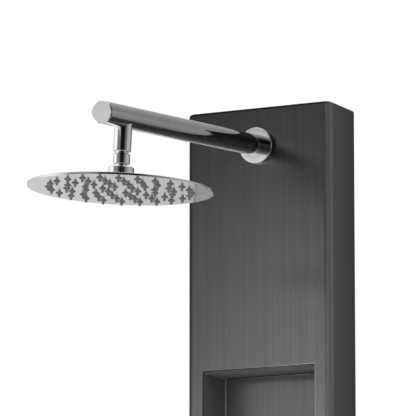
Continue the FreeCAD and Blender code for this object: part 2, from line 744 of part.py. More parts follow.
def riser_path():
    """Line of the riser pipe: out of the elbow, down beside the niche, in below it and down to the mixer."""
    pipe_y = at(0, -PIPE_INSET, 0)
    points = [
        pipe_y + FreeCAD.Vector(ELBOW_ARM - PIPE_SEAT_DEPTH, 0, ARM_AXIS_Z),
        pipe_y + FreeCAD.Vector(PIPE_X, 0, ARM_AXIS_Z),
        pipe_y + FreeCAD.Vector(PIPE_X, 0, PIPE_JOG_Z),
        pipe_y + FreeCAD.Vector(0, 0, PIPE_JOG_Z),
        pipe_y + FreeCAD.Vector(0, 0, MIXER_Z + OUTLET_RISE - PIPE_SEAT_DEPTH),
    ]
    edges = []
    start = points[0]
    for before, corner, after in zip(points, points[1:], points[2:]):
        inward = (before - corner).normalize()
        outward = (after - corner).normalize()
        arc_start = corner + inward * PIPE_BEND_RADIUS
        arc_end = corner + outward * PIPE_BEND_RADIUS
        middle = corner + (inward + outward) * (PIPE_BEND_RADIUS * (1 - math.sqrt(0.5)))
        edges.append(Part.LineSegment(start, arc_start).toShape())
        edges.append(Part.Arc(arc_start, middle, arc_end).toShape())
        start = arc_end
    edges.append(Part.LineSegment(start, points[-1]).toShape())
    return Part.Wire(edges)


def riser_pipe():
    """Rigid bent pipe along the riser path."""
    path = riser_path()
    start = path.OrderedVertexes[0].Point

    def sweep(radius):
        ring = Part.Wire(Part.makeCircle(radius, start, RIGHT))
        return path.makePipeShell([ring], True, True)

    return sweep(PIPE_RADIUS).cut(sweep(PIPE_RADIUS - PIPE_WALL))


def pipe_ends():
    """Mouth and outward direction of the two fittings that hold the riser pipe."""
    elbow_mouth = at(ELBOW_ARM, -PIPE_INSET, ARM_AXIS_Z)
    mixer_mouth = at(0, -PIPE_INSET, MIXER_Z + OUTLET_RISE)
    return [(elbow_mouth, RIGHT), (mixer_mouth, UP)]


def riser_ferrules():
    """Brass rings clamped on the pipe at both fittings."""
    rings = []
    for mouth, outward in pipe_ends():
        rings.append(tube(FERRULE_RADIUS, PIPE_RADIUS + FIT, mouth, mouth + outward * FERRULE_LENGTH))
    return Part.makeCompound(rings)


def riser_nuts():
    """Compression nuts over both fittings."""
    nuts = []
    for mouth, outward in pipe_ends():
        start = mouth - outward * FITTING_NUT_GRIP
        shoulder = mouth + outward * FERRULE_LENGTH
        end = shoulder + outward * FITTING_NUT_WALL
        nut = hexagon(FITTING_NUT_FLATS, start, end)
        nuts.append(nut.cut([rod(FITTING_RADIUS + FIT, start, shoulder), rod(PIPE_RADIUS + FIT, start, end)]))
    return Part.makeCompound(nuts)


def pipe_clips():
    """Clips that hold the riser pipe to the panel's side."""
    clips = []
    radius = PIPE_RADIUS + FIT
    outer = radius + PIPE_CLIP_WALL
    for drop in PIPE_CLIP_DROPS:
        middle = at(PIPE_X, -PIPE_INSET, PANEL_TOP - drop)
        half = UP * (PIPE_CLIP_LENGTH / 2)
        foot = block(
            middle - BACK * outer - half,
            FreeCAD.Vector(INNER_HALF_WIDTH, middle.y + outer, middle.z) + half,
        )
        clip = rod(outer, middle - half, middle + half).fuse(foot)
        clips.append(clip.cut(rod(radius, middle - half, middle + half)))
    return Part.makeCompound(clips)


def mixer_body():
    """Brass body clamped behind the panel: cartridge bore, threaded neck, inlet legs and riser outlet."""
    shoulder = -PANEL_SHEET - MIXER_GASKET_THICKNESS
    barrel = rod(BODY_RADIUS, at(0, -BODY_DEPTH, MIXER_Z), at(0, shoulder, MIXER_Z))
    neck = rod(NECK_TUBE_RADIUS, at(0, shoulder, MIXER_Z), at(0, NECK_TUBE_REACH, MIXER_Z))
    centre = at(0, -PIPE_INSET, MIXER_Z)
    inlet_x = RIGHT * (INLET_SPAN / 2)
    bar = rod(INLET_LEG_RADIUS, centre - inlet_x, centre + inlet_x)
    outlet_mouth = centre + UP * OUTLET_RISE
    solids = [neck, bar, rod(FITTING_RADIUS, centre, outlet_mouth)]
    floor = at(0, -CARTRIDGE_DEPTH, MIXER_Z)
    flange_bottom = CARTRIDGE_FLANGE_TOP - CARTRIDGE_FLANGE_THICKNESS
    front = at(0, NECK_TUBE_REACH, MIXER_Z)
    cuts = [
        rod(CARTRIDGE_RADIUS + FIT, floor, front),
        rod(CARTRIDGE_FLANGE_RADIUS + FIT, at(0, flange_bottom, MIXER_Z), front),
        rod(PIPE_RADIUS - PIPE_WALL, centre + UP * PORT_OFFSET, outlet_mouth),
        rod(PIPE_RADIUS + FIT, outlet_mouth - UP * PIPE_SEAT_DEPTH, outlet_mouth),
        rod(PORT_RADIUS, floor + UP * PORT_OFFSET, centre + UP * PORT_OFFSET),
    ]
    for side in (-1, 1):
        knee = centre + inlet_x * side
        foot = knee - UP * INLET_LEG_DROP
        port = RIGHT * (side * PORT_OFFSET)
        solids.append(rod(INLET_LEG_RADIUS, knee, foot))
        cuts.append(rod(INLET_WATER_RADIUS, foot, knee))
        cuts.append(rod(NIPPLE_THREAD_RADIUS + FIT, foot, foot + UP * NIPPLE_THREAD_LENGTH))
        cuts.append(rod(PORT_RADIUS, knee, centre + port))
        cuts.append(rod(PORT_RADIUS, floor + port, centre + port))
    return barrel.fuse(solids).cut(cuts)


def inlet_feet():
    """Bottom centres of the two inlet legs, left then right."""
    feet = []
    for side in (-1, 1):
        feet.append(at(side * INLET_SPAN / 2, -PIPE_INSET, MIXER_Z - INLET_LEG_DROP))
    return feet


def inlet_nipple(foot):
    """Threaded nipple for a supply hose, screwed up into an inlet leg."""
    hex_top = -NIPPLE_SEAL_THICKNESS
    hex_bottom = hex_top - NIPPLE_HEX_HEIGHT
    tail_bottom = hex_bottom - NIPPLE_TAIL_LENGTH
    hex_part = hexagon(NIPPLE_FLATS, foot + UP * hex_bottom, foot + UP * hex_top)
    shaft = turned(
        [
            (0, NIPPLE_THREAD_LENGTH),
            (NIPPLE_THREAD_RADIUS, NIPPLE_THREAD_LENGTH),
            (NIPPLE_THREAD_RADIUS, hex_bottom),
            (NIPPLE_TAIL_RADIUS, hex_bottom),
            (NIPPLE_TAIL_RADIUS, tail_bottom + NIPPLE_TAIL_CHAMFER),
            (NIPPLE_TAIL_RADIUS - NIPPLE_TAIL_CHAMFER, tail_bottom),
            (0, tail_bottom),
        ]
    )
    shaft.translate(foot)
    bore = rod(INLET_WATER_RADIUS, foot + UP * NIPPLE_THREAD_LENGTH, foot + UP * tail_bottom)
    return shaft.fuse(hex_part).cut(bore)


def inlet_seals():
    """Fibre washers between the inlet legs and the nipples."""
    rings = []
    for foot in inlet_feet():
        ring = tube(INLET_LEG_RADIUS, NIPPLE_THREAD_RADIUS + FIT, foot - UP * NIPPLE_SEAL_THICKNESS, foot)
        rings.append(ring)
    return Part.makeCompound(rings)


def mixer_gasket():
    """Rubber ring between the mixer's shoulder and the panel sheet."""
    start = -PANEL_SHEET - MIXER_GASKET_THICKNESS
    return tube(BODY_RADIUS, NECK_TUBE_RADIUS + FIT, at(0, start, MIXER_Z), at(0, -PANEL_SHEET, MIXER_Z))


def mixer_ring_nut():
    """Ring nut on the mixer's neck that clamps the panel."""
    return tube(RING_NUT_RADIUS, NECK_TUBE_RADIUS + FIT, at(0, 0, MIXER_Z), at(0, RING_NUT_HEIGHT, MIXER_Z))


def mixer_cover_plate():
    """Round cover over the ring nut."""
    bore = NECK_TUBE_RADIUS + FIT
    under = COVER_HEIGHT - COVER_WALL
    cover = turned(
        [
            (bore, under),
            (COVER_RADIUS - COVER_WALL, under),
            (COVER_RADIUS - COVER_WALL, 0),
            (COVER_RADIUS, 0),
            (COVER_RADIUS, COVER_HEIGHT - COVER_CHAMFER),
            (COVER_RADIUS - COVER_CHAMFER, COVER_HEIGHT),
            (bore, COVER_HEIGHT),
        ]
    )
    return facing_front(cover, MIXER_Z)


def dome_corner(radius, edge_radius):
    """Point of a sphere about the lever's pivot, in the mixer's own profile, at a distance from its axis."""
    return (edge_radius, NECK_TUBE_REACH + math.sqrt(radius**2 - edge_radius**2))


def dome_point(radius, from_pole_deg):
    """Point of a sphere about the lever's pivot, at an angle from its front pole."""
    angle = math.radians(from_pole_deg)
    return (radius * math.sin(angle), NECK_TUBE_REACH + radius * math.cos(angle))


def half_way(radius, edge_radius):
    """Middle of the arc from a sphere's widest circle to a smaller one in front of it."""
    edge_deg = math.degrees(math.asin(edge_radius / radius))
    return dome_point(radius, (edge_deg + RIGHT_ANGLE) / 2)


def mixer_sleeve():
    """Chrome sleeve screwed on the neck, with a round front that the handle's cap rolls on."""
    outer_edge = dome_corner(SLEEVE_RADIUS, SLEEVE_MOUTH_RADIUS)
    inner_edge = dome_corner(SLEEVE_BORE_RADIUS, SLEEVE_MOUTH_RADIUS)
    sleeve = turned(
        [
            (SLEEVE_BORE_RADIUS, COVER_HEIGHT),
            (SLEEVE_RADIUS, COVER_HEIGHT),
            (SLEEVE_RADIUS, NECK_TUBE_REACH),
            (*outer_edge, half_way(SLEEVE_RADIUS, SLEEVE_MOUTH_RADIUS)),
            inner_edge,
            (SLEEVE_BORE_RADIUS, NECK_TUBE_REACH, half_way(SLEEVE_BORE_RADIUS, SLEEVE_MOUTH_RADIUS)),
        ]
    )
    return facing_front(sleeve, MIXER_Z)


def cartridge_housing():
    """Plastic cartridge with a flange under the nut and a bore for the carrier."""
    flange_bottom = CARTRIDGE_FLANGE_TOP - CARTRIDGE_FLANGE_THICKNESS
    bore = CARRIER_SHANK_RADIUS + FIT
    housing = turned(
        [
            (0, -CARTRIDGE_DEPTH),
            (CARTRIDGE_RADIUS, -CARTRIDGE_DEPTH),
            (CARTRIDGE_RADIUS, flange_bottom),
            (CARTRIDGE_FLANGE_RADIUS, flange_bottom),
            (CARTRIDGE_FLANGE_RADIUS, CARTRIDGE_FLANGE_TOP),
            (bore, CARTRIDGE_FLANGE_TOP),
            (bore, -CARRIER_SHANK_DEPTH - FIT),
            (0, -CARRIER_SHANK_DEPTH - FIT),
        ]
    )
    return facing_front(housing, MIXER_Z)


def cartridge_nut():
    """Threaded ring that holds the cartridge in the body."""
    start = at(0, CARTRIDGE_FLANGE_TOP, MIXER_Z)
    end = at(0, NECK_TUBE_REACH, MIXER_Z)
    return tube(CARTRIDGE_FLANGE_RADIUS, CARTRIDGE_NUT_BORE_RADIUS, start, end)


def pivot_axis(half_length):
    """Two points on the lever's pivot line, left and right of the mixer's axis."""
    pivot = at(0, NECK_TUBE_REACH, MIXER_Z)
    return pivot - RIGHT * half_length, pivot + RIGHT * half_length


def cartridge_carrier():
    """Turning fork in the cartridge, slotted for the stem and cross-drilled for its pin."""
    disc_bottom = CARTRIDGE_FLANGE_TOP + SEAT_GAP
    carrier = turned(
        [
            (0, -CARRIER_SHANK_DEPTH),
            (CARRIER_SHANK_RADIUS, -CARRIER_SHANK_DEPTH),
            (CARRIER_SHANK_RADIUS, disc_bottom),
            (CARRIER_RADIUS, disc_bottom),
            (CARRIER_RADIUS, CARRIER_TOP_REACH),
            (0, CARRIER_TOP_REACH),
        ]
    )
    half_width = CARRIER_SLOT_WIDTH / 2
    half_height = CARRIER_SLOT_HEIGHT / 2
    slot = block(
        at(-half_width, CARRIER_TOP_REACH + OVERRUN, MIXER_Z - half_height),
        at(half_width, CARRIER_SLOT_FLOOR, MIXER_Z + half_height),
    )
    drill = rod(PIVOT_PIN_RADIUS + FIT, *pivot_axis(CARRIER_RADIUS))
    return facing_front(carrier, MIXER_Z).cut([slot, drill])


def stem_pin():
    """Pin through the carrier that the stem rocks on."""
    return rod(PIVOT_PIN_RADIUS, *pivot_axis(PIVOT_PIN_LENGTH / 2))


def stem_block(half_size, start, end):
    """Square bar on the mixer's axis between two distances from the front plane."""
    return block(at(-half_size, end, MIXER_Z - half_size), at(half_size, start, MIXER_Z + half_size))


def cartridge_stem():
    """Square stem from the carrier to the handle."""
    bar = stem_block(STEM_SIZE / 2, NECK_TUBE_REACH - STEM_TAIL, STEM_REACH)
    return bar.cut(rod(PIVOT_PIN_RADIUS + FIT, *pivot_axis(STEM_SIZE)))


def lever_blade():
    """Flat lever pointing down from the hub, with a round end and softened edges."""
    half = LEVER_WIDTH / 2
    back = at(0, HANDLE_TOP_REACH - LEVER_THICKNESS, MIXER_Z)
    front = at(0, HANDLE_TOP_REACH, MIXER_Z)
    end_drop = UP * (LEVER_LENGTH - half)
    bar = block(front - RIGHT * half - end_drop, back + RIGHT * half)
    blade = bar.fuse(rod(half, back - end_drop, front - end_drop)).removeSplitter()
    front_edges = [edge for edge in blade.Edges if edge.BoundBox.YMax < front.y + FIT]
    long_edges = [edge for edge in front_edges if edge.BoundBox.ZMin < MIXER_Z - half]
    return blade.makeChamfer(LEVER_EDGE, long_edges)


def lever_handle():
    """Cap that rolls on the sleeve, hub on the stem and lever blade in one casting."""
    rim_inner = dome_point(CAP_INNER_RADIUS, CAP_RIM_DEG)
    rim_outer = dome_point(CAP_OUTER_RADIUS, CAP_RIM_DEG)
    pole_inner = dome_point(CAP_INNER_RADIUS, 0)
    pole_outer = dome_point(CAP_OUTER_RADIUS, 0)
    cap = turned(
        [
            pole_inner,
            (*rim_inner, dome_point(CAP_INNER_RADIUS, CAP_RIM_DEG / 2)),
            rim_outer,
            (*pole_outer, dome_point(CAP_OUTER_RADIUS, CAP_RIM_DEG / 2)),
        ]
    )
    hub = turned(
        [
            (0, NECK_TUBE_REACH),
            (HANDLE_HUB_RADIUS, NECK_TUBE_REACH),
            (HANDLE_HUB_RADIUS, HANDLE_TOP_REACH - HANDLE_HUB_CHAMFER),
            (HANDLE_HUB_RADIUS - HANDLE_HUB_CHAMFER, HANDLE_TOP_REACH),
            (0, HANDLE_TOP_REACH),
        ]
    )
    room = Part.makeSphere(CAP_INNER_RADIUS, at(0, NECK_TUBE_REACH, MIXER_Z))
    socket = stem_block(STEM_SIZE / 2 + FIT, NECK_TUBE_REACH, STEM_REACH + FIT)
    hub = facing_front(hub, MIXER_Z).fuse(lever_blade()).cut(room)
    grub_line = at(0, GRUB_HEIGHT_REACH, MIXER_Z)
    grub_hole = rod(GRUB_RADIUS + FIT, grub_line, grub_line + UP * (HANDLE_HUB_RADIUS + OVERRUN))
    return facing_front(cap, MIXER_Z).fuse(hub).cut([socket, grub_hole])


def handle_grub_screw():
    """Headless screw that locks the handle on the stem."""
    bottom = at(0, GRUB_HEIGHT_REACH, MIXER_Z) + UP * (STEM_SIZE / 2)
    top = bottom + UP * GRUB_LENGTH
    return rod(GRUB_RADIUS, bottom, top).cut(rod(GRUB_KEY_RADIUS, top - UP * GRUB_KEY_DEPTH, top))


def index_plug():
    """Small plastic plug over the grub screw, flush with the hub."""
    bottom = at(0, GRUB_HEIGHT_REACH, MIXER_Z) + UP * (STEM_SIZE / 2 + GRUB_LENGTH)
    plug = rod(GRUB_RADIUS, bottom, bottom + UP * HANDLE_HUB_RADIUS)
    hub = rod(HANDLE_HUB_RADIUS, at(0, 0, MIXER_Z), at(0, HANDLE_TOP_REACH, MIXER_Z))
    return plug.common(hub)


def all_nodes():
    """Every piece by its name."""
    bracket = upper_wall_bracket()
    left_foot, right_foot = inlet_feet()
    return {
        "front_panel": front_panel(),
        "niche_box": niche_box(),
        "upper_wall_bracket": bracket,
        "lower_wall_bracket": bracket.mirror(ORIGIN, UP),
        "panel_fixing_screws": panel_fixing_screws(),
        "arm_flange": arm_flange(),
        "arm_gasket": arm_gasket(),
        "arm_washer": arm_washer(),
        "arm_lock_nut": arm_lock_nut(),
        "arm_tube": arm_tube(),
        "arm_end_cap": arm_end_cap(),
        "arm_elbow": arm_elbow(),
        "arm_outlet_stub": arm_outlet_stub(),
        "connector_washer": connector_washer(),
        "ball_connector": ball_connector(),
        "ball_seat": ball_seat(),
        "ball_seal": ball_seal(),
        "head_collar": head_collar(),
        "head_hub": head_hub(),
        "head_top_plate": head_top_plate(),
        "head_face_plate": head_face_plate(),
        "nozzle_mat": nozzle_mat(),
        "riser_pipe": riser_pipe(),
        "riser_ferrules": riser_ferrules(),
        "riser_nuts": riser_nuts(),
        "pipe_clips": pipe_clips(),
        "mixer_body": mixer_body(),
        "hot_inlet_nipple": inlet_nipple(left_foot),
        "cold_inlet_nipple": inlet_nipple(right_foot),
        "inlet_seals": inlet_seals(),
        "mixer_gasket": mixer_gasket(),
        "mixer_ring_nut": mixer_ring_nut(),
        "mixer_cover_plate": mixer_cover_plate(),
        "mixer_sleeve": mixer_sleeve(),
        "cartridge_housing": cartridge_housing(),
        "cartridge_nut": cartridge_nut(),
        "cartridge_carrier": cartridge_carrier(),
        "stem_pin": stem_pin(),
        "cartridge_stem": cartridge_stem(),
        "lever_handle": lever_handle(),
        "handle_grub_screw": handle_grub_screw(),
        "index_plug": index_plug(),
    }


os.makedirs("parts", exist_ok=True)
for name, shape in all_nodes().items():
    shape.exportStep(f"parts/{name}.step")
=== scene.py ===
"""Looks of a wall shower panel: a dark brushed column with a niche, a chrome arm, a rain head and a mixer.

Metres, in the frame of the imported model: +Z up, the front faces -Y, the wall is the plane Y = 0.
"""

import json
import math

import bmesh
import bpy
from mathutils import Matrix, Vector

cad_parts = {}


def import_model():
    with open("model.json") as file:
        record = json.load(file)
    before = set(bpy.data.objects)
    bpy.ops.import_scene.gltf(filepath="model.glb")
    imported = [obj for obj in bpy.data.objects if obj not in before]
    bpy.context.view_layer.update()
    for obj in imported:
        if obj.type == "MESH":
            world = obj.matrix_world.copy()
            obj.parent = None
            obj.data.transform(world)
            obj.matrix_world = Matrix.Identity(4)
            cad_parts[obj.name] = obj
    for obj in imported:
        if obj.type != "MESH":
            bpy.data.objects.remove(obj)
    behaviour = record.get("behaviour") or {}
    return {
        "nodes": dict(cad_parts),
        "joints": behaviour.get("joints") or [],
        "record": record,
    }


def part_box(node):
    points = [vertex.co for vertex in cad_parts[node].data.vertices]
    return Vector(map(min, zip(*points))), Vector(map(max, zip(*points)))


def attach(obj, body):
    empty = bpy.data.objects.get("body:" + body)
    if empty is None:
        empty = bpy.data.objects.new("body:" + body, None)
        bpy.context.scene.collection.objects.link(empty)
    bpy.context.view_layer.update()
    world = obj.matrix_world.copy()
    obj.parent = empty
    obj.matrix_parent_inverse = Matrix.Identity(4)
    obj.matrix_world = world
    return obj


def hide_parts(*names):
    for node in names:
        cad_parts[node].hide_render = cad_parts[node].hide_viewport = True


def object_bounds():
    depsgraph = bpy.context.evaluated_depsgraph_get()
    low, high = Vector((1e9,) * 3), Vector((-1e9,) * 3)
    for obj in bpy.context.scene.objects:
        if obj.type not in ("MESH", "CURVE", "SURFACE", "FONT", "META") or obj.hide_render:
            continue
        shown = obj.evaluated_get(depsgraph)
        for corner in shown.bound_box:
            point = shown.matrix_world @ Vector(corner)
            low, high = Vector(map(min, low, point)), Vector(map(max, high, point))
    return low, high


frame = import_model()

CAD_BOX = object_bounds()
RECORD = frame["record"]
SIDE, BACK, UP = Vector((1, 0, 0)), Vector((0, 1, 0)), Vector((0, 0, 1))

# Camera, fitted to the column's straight edges: its place is counted in column widths from the front's
# top centre
CAMERA_PLACE_WIDTHS = Vector((12.1095, -24.914, -5.783))
CAMERA_YAW = math.radians(26.57)
CAMERA_PITCH = math.radians(10.51)
CAMERA_LENS_MM = 389.03
CAMERA_SENSOR_MM = 36.0
CAMERA_REACH = 100.0

# Edges: those over SHARP_ANGLE can be rounded, those over CREASE_ANGLE stay creases in the shading, and an
# edge closer than NEAR to a place lies on it
SHARP_ANGLE = math.radians(40)
CREASE_ANGLE = math.radians(50)
NEAR = 0.0004
ARC_PROFILE = 0.5

# Folded column
PANEL_LOW, PANEL_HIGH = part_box("front_panel")
PANEL_WIDTH = PANEL_HIGH.x - PANEL_LOW.x
PANEL_SHEET = 0.0015
PANEL_BEND_RADIUS = 0.009
PANEL_BEND_STEPS = 12
PANEL_HEM = 0.012
PANEL_HEM_ROUND = 0.0004
PANEL_HEM_ROUND_STEPS = 2
PANEL_END_ROUND = 0.0035
PANEL_END_ROUND_STEPS = 5

# Round holes in the column: for the arm and the mixer in its front, for the fixing screws in its ends
HOLE_STEPS = 48
ARM_HOLE_RADIUS = 0.0104
MIXER_HOLE_RADIUS = 0.0214
SCREWS_LOW, SCREWS_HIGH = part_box("panel_fixing_screws")
SCREW_X = SCREWS_HIGH.x - (SCREWS_HIGH.y - SCREWS_LOW.y) / 2
SCREW_Y = (SCREWS_LOW.y + SCREWS_HIGH.y) / 2
SCREW_HOLE_RADIUS = 0.0017
SCREW_HOLE_STEPS = 16

# Niche: the tray's flange and sheet stand round its clear opening
NICHE_LOW, NICHE_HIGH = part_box("niche_box")
NICHE_SHEET = 0.0012
NICHE_FLANGE = 0.008
NICHE_CORNER = 0.0016
NICHE_CORNER_STEPS = 4
NICHE_LIP = NICHE_FLANGE + NICHE_SHEET
OPENING_LEFT, OPENING_RIGHT = NICHE_LOW.x + NICHE_LIP, NICHE_HIGH.x - NICHE_LIP
OPENING_FOOT, OPENING_TOP = NICHE_LOW.z + NICHE_LIP, NICHE_HIGH.z - NICHE_LIP
OPENING_ROUND = 0.0013
OPENING_ROUND_STEPS = 3

# Spray mat: the nozzles stand in rings, one more set in each; a nozzle's profile is (radius, height) from
# its bore's end over the lip on the face plate to the top of its stem
FACE_PLATE_SHEET = 0.0008
MAT_SHEET = 0.0005
MAT_RADIUS = 0.095
NOZZLE_STEPS = 16
NOZZLE_RING_STEP = 0.0195
NOZZLES_PER_STEP = 6
NOZZLE_RING_PHASES_DEG = (40.0, 11.0, 1.5, 11.5)
NOZZLE_PROFILE = (
    (0, -0.0036), (0.0005, -0.0036), (0.0005, -0.0047), (0.001, -0.0047), (0.0012, -0.0043),
    (0.0018, -0.002), (0.0024, -0.0013), (0.0038, -0.0008), (0.004, -0.0004), (0.0039, 0),
    (0.002, 0), (0.002, 0.0011), (0, 0.0011),
)

# Wall flange of the arm: its rounded edge, a groove round the arm's seat, and its threaded shank
FLANGE_STEPS = 96
FLANGE_THICKNESS = 0.007
FLANGE_EDGE = 0.0014
FLANGE_EDGE_STEPS = 5
FLANGE_GROOVE_RADIUS = 0.0142
FLANGE_GROOVE_WIDTH = 0.001
FLANGE_GROOVE_DEPTH = 0.0008
ARM_SEAT_DEPTH = 0.002
ARM_SEAT_CLEARANCE = 0.00005
GASKET_SEAT_RADIUS = 0.01705
GASKET_SEAT_DEPTH = 0.001
SHANK_RADIUS = 0.01
SHANK_BORE_RADIUS = 0.007
SHANK_LENGTH = 0.022


def middle(node):
    """Centre of a node's box."""
    low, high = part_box(node)
    return (low + high) / 2


def object_of(name, bm):
    """Object made of a bmesh, in the scene."""
    mesh = bpy.data.meshes.new(name)
    bm.to_mesh(mesh)
    bm.free()
    obj = bpy.data.objects.new(name, mesh)
    bpy.context.scene.collection.objects.link(obj)
    return obj


def piece(name, bm, body, slot, *nodes):
    """Object made of a bmesh, which rides on a body in place of CAD nodes."""
    bmesh.ops.recalc_face_normals(bm, faces=bm.faces)
    obj = object_of(name, bm)
    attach(obj, body)
    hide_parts(*nodes)
    return obj


def applied(obj):
    """Bakes an object's modifiers into its mesh."""
    bpy.context.view_layer.update()
    depsgraph = bpy.context.evaluated_depsgraph_get()
    mesh = bpy.data.meshes.new_from_object(obj.evaluated_get(depsgraph))
    obj.modifiers.clear()
    obj.data = mesh


def thicken(obj, thickness):
    """Turns a sheet so that its largest face looks to the front, and thickens it on its other side."""
    mesh = obj.data
    largest = max(mesh.polygons, key=lambda polygon: polygon.area * abs(polygon.normal.y))
    if largest.normal.y > 0:
        mesh.flip_normals()
    solidify = obj.modifiers.new("thickness", "SOLIDIFY")
    solidify.thickness = thickness
    solidify.offset = -1
    solidify.use_even_offset = True
    solidify.use_quality_normals = True
    applied(obj)


def bevel(bm, edges, width, steps):
    """Rounds edges by arcs."""
    bmesh.ops.bevel(bm, geom=edges, offset=width, segments=steps, profile=ARC_PROFILE, affect="EDGES")


def round_edges(obj, width, steps, chosen):
    """Rounds the sharp edges whose middle passes a test."""
    bm = bmesh.new()
    bm.from_mesh(obj.data)
    sharp = []
    for edge in bm.edges:
        if len(edge.link_faces) == 2 and edge.calc_face_angle() > SHARP_ANGLE:
            if chosen((edge.verts[0].co + edge.verts[1].co) / 2):
                sharp.append(edge)
    bevel(bm, sharp, width, steps)
    bm.to_mesh(obj.data)
    bm.free()


def smooth(obj):
    """Smooth shading between creases, even over faces of unlike size."""
    for polygon in obj.data.polygons:
        polygon.use_smooth = True
    obj.data.set_sharp_from_angle(angle=CREASE_ANGLE)
    weighted = obj.modifiers.new("even shading", "WEIGHTED_NORMAL")
    weighted.keep_sharp = True
    applied(obj)


def circle(bm, centre, radius, across, steps=HOLE_STEPS):
    """Vertices on a circle in the plane of two directions."""
    loop = []
    for step in range(steps):
        angle = math.tau * step / steps
        away = across[0] * (radius * math.cos(angle)) + across[1] * (radius * math.sin(angle))
        loop.append(bm.verts.new(centre + away))
    return loop


def wall(bm, low, high):
    """Faces between two rings of vertices; a ring may be a single point."""
    count = max(len(low), len(high))
    for index in range(count):
        after = (index + 1) % count
        corners = [low[index % len(low)], low[after % len(low)], high[after % len(high)]]
        corners.append(high[index % len(high)])
        bm.faces.new(list(dict.fromkeys(corners)))


def holed_face(bm, outer, holes):
    """Fills a flat outline of vertices around its holes."""
    edges = []
    for loop in [outer, *holes]:
        for start, end in zip(loop, loop[1:] + loop[:1]):
            edges.append(bm.edges.get((start, end)) or bm.edges.new((start, end)))
    bmesh.ops.triangle_fill(bm, use_beauty=True, edges=edges)


def opening_corners():
    """Corners of the niche's clear opening as (x, z)."""
    low = [(OPENING_LEFT, OPENING_FOOT), (OPENING_RIGHT, OPENING_FOOT)]
    return low + [(OPENING_RIGHT, OPENING_TOP), (OPENING_LEFT, OPENING_TOP)]


def panel_outline():
    """Plan of the folded sheet's outer face, from the left hem round the front to the right hem."""
    right = []
    for step in range(PANEL_BEND_STEPS + 1):
        angle = math.pi / 2 * step / PANEL_BEND_STEPS
        x = PANEL_HIGH.x - PANEL_BEND_RADIUS * (1 - math.sin(angle))
        right.append((x, PANEL_LOW.y + PANEL_BEND_RADIUS * (1 - math.cos(angle))))
    right += [(PANEL_HIGH.x, PANEL_HIGH.y), (PANEL_HIGH.x - PANEL_HEM, PANEL_HIGH.y)]
    return [(-x, y) for x, y in reversed(right)] + right


def panel_folds(bm):
    """Folded walls; gives their lower and upper rings of vertices and the corners of the open front."""
    outline = panel_outline()
    low, high = [[bm.verts.new((x, y, z)) for x, y in outline] for z in (PANEL_LOW.z, PANEL_HIGH.z)]
    front = len(outline) // 2 - 1
    for index in range(len(outline) - 1):
        if index != front:
            bm.faces.new((low[index], low[index + 1], high[index + 1], high[index]))
    return low, high, [low[front], low[front + 1], high[front + 1], high[front]]


def panel_front(bm, corners):
    """Front of the column around the niche's opening and the holes for the arm and the mixer."""
    holes = [[bm.verts.new((x, PANEL_LOW.y, z)) for x, z in opening_corners()]]
    for node, radius in (("arm_gasket", ARM_HOLE_RADIUS), ("mixer_cover_plate", MIXER_HOLE_RADIUS)):
        holes.append(circle(bm, Vector((0, PANEL_LOW.y, middle(node).z)), radius, (SIDE, UP)))
    holed_face(bm, corners, holes)


def panel_end(bm, ring):
    """Closed end of the column around its screw holes."""
    holes = []
    for x in (-SCREW_X, SCREW_X):
        centre = Vector((x, SCREW_Y, ring[0].co.z))
        holes.append(circle(bm, centre, SCREW_HOLE_RADIUS, (SIDE, BACK), SCREW_HOLE_STEPS))
    holed_face(bm, ring, holes)


def on_end(at):
    """Whether a place is on the outer edge of an end, away from the hem and the screw holes."""
    from_screw = Vector((abs(at.x) - SCREW_X, at.y - SCREW_Y))
    outer = abs(abs(at.z) - PANEL_HIGH.z) < NEAR
    return outer and at.y < -PANEL_HEM and from_screw.length > 2 * SCREW_HOLE_RADIUS


def on_opening(at):
    """Whether a place is on the front edge of the niche's opening."""
    beside = OPENING_LEFT - NEAR < at.x < OPENING_RIGHT + NEAR
    level = OPENING_FOOT - NEAR < at.z < OPENING_TOP + NEAR
    return beside and level and at.y < PANEL_LOW.y + NEAR


def on_hem(at):
    """Whether a place is on the back of a hem, away from the ends."""
    return at.y > -NEAR and abs(at.z) < PANEL_HIGH.z - PANEL_HEM


def panel_shell():
    """Folded column with closed ends, its niche opening and its holes."""
    bm = bmesh.new()
    low, high, front = panel_folds(bm)
    panel_front(bm, front)
    panel_end(bm, low)
    panel_end(bm, high)
    obj = piece("panel_shell", bm, "panel", "panel_steel", "front_panel")
    thicken(obj, PANEL_SHEET)
    round_edges(obj, PANEL_END_ROUND, PANEL_END_ROUND_STEPS, on_end)
    round_edges(obj, OPENING_ROUND, OPENING_ROUND_STEPS, on_opening)
    round_edges(obj, PANEL_HEM_ROUND, PANEL_HEM_ROUND_STEPS, on_hem)
    smooth(obj)
    return obj


def tray_flange(bm):
    """Flange round the mouth of the niche's tray, spread from its open rim."""
    rim = [edge for edge in bm.edges if edge.is_boundary]
    centre = Vector(((OPENING_LEFT + OPENING_RIGHT) / 2, NICHE_LOW.y, (OPENING_FOOT + OPENING_TOP) / 2))
    half = Vector(((OPENING_RIGHT - OPENING_LEFT) / 2, 0, (OPENING_TOP - OPENING_FOOT) / 2))
    for item in bmesh.ops.extrude_edge_only(bm, edges=rim)["geom"]:
        if isinstance(item, bmesh.types.BMVert):
            away = item.co - centre
            item.co.x += math.copysign(NICHE_FLANGE, away.x) * (abs(away.x) > half.x - NICHE_CORNER)
            item.co.z += math.copysign(NICHE_FLANGE, away.z) * (abs(away.z) > half.z - NICHE_CORNER)


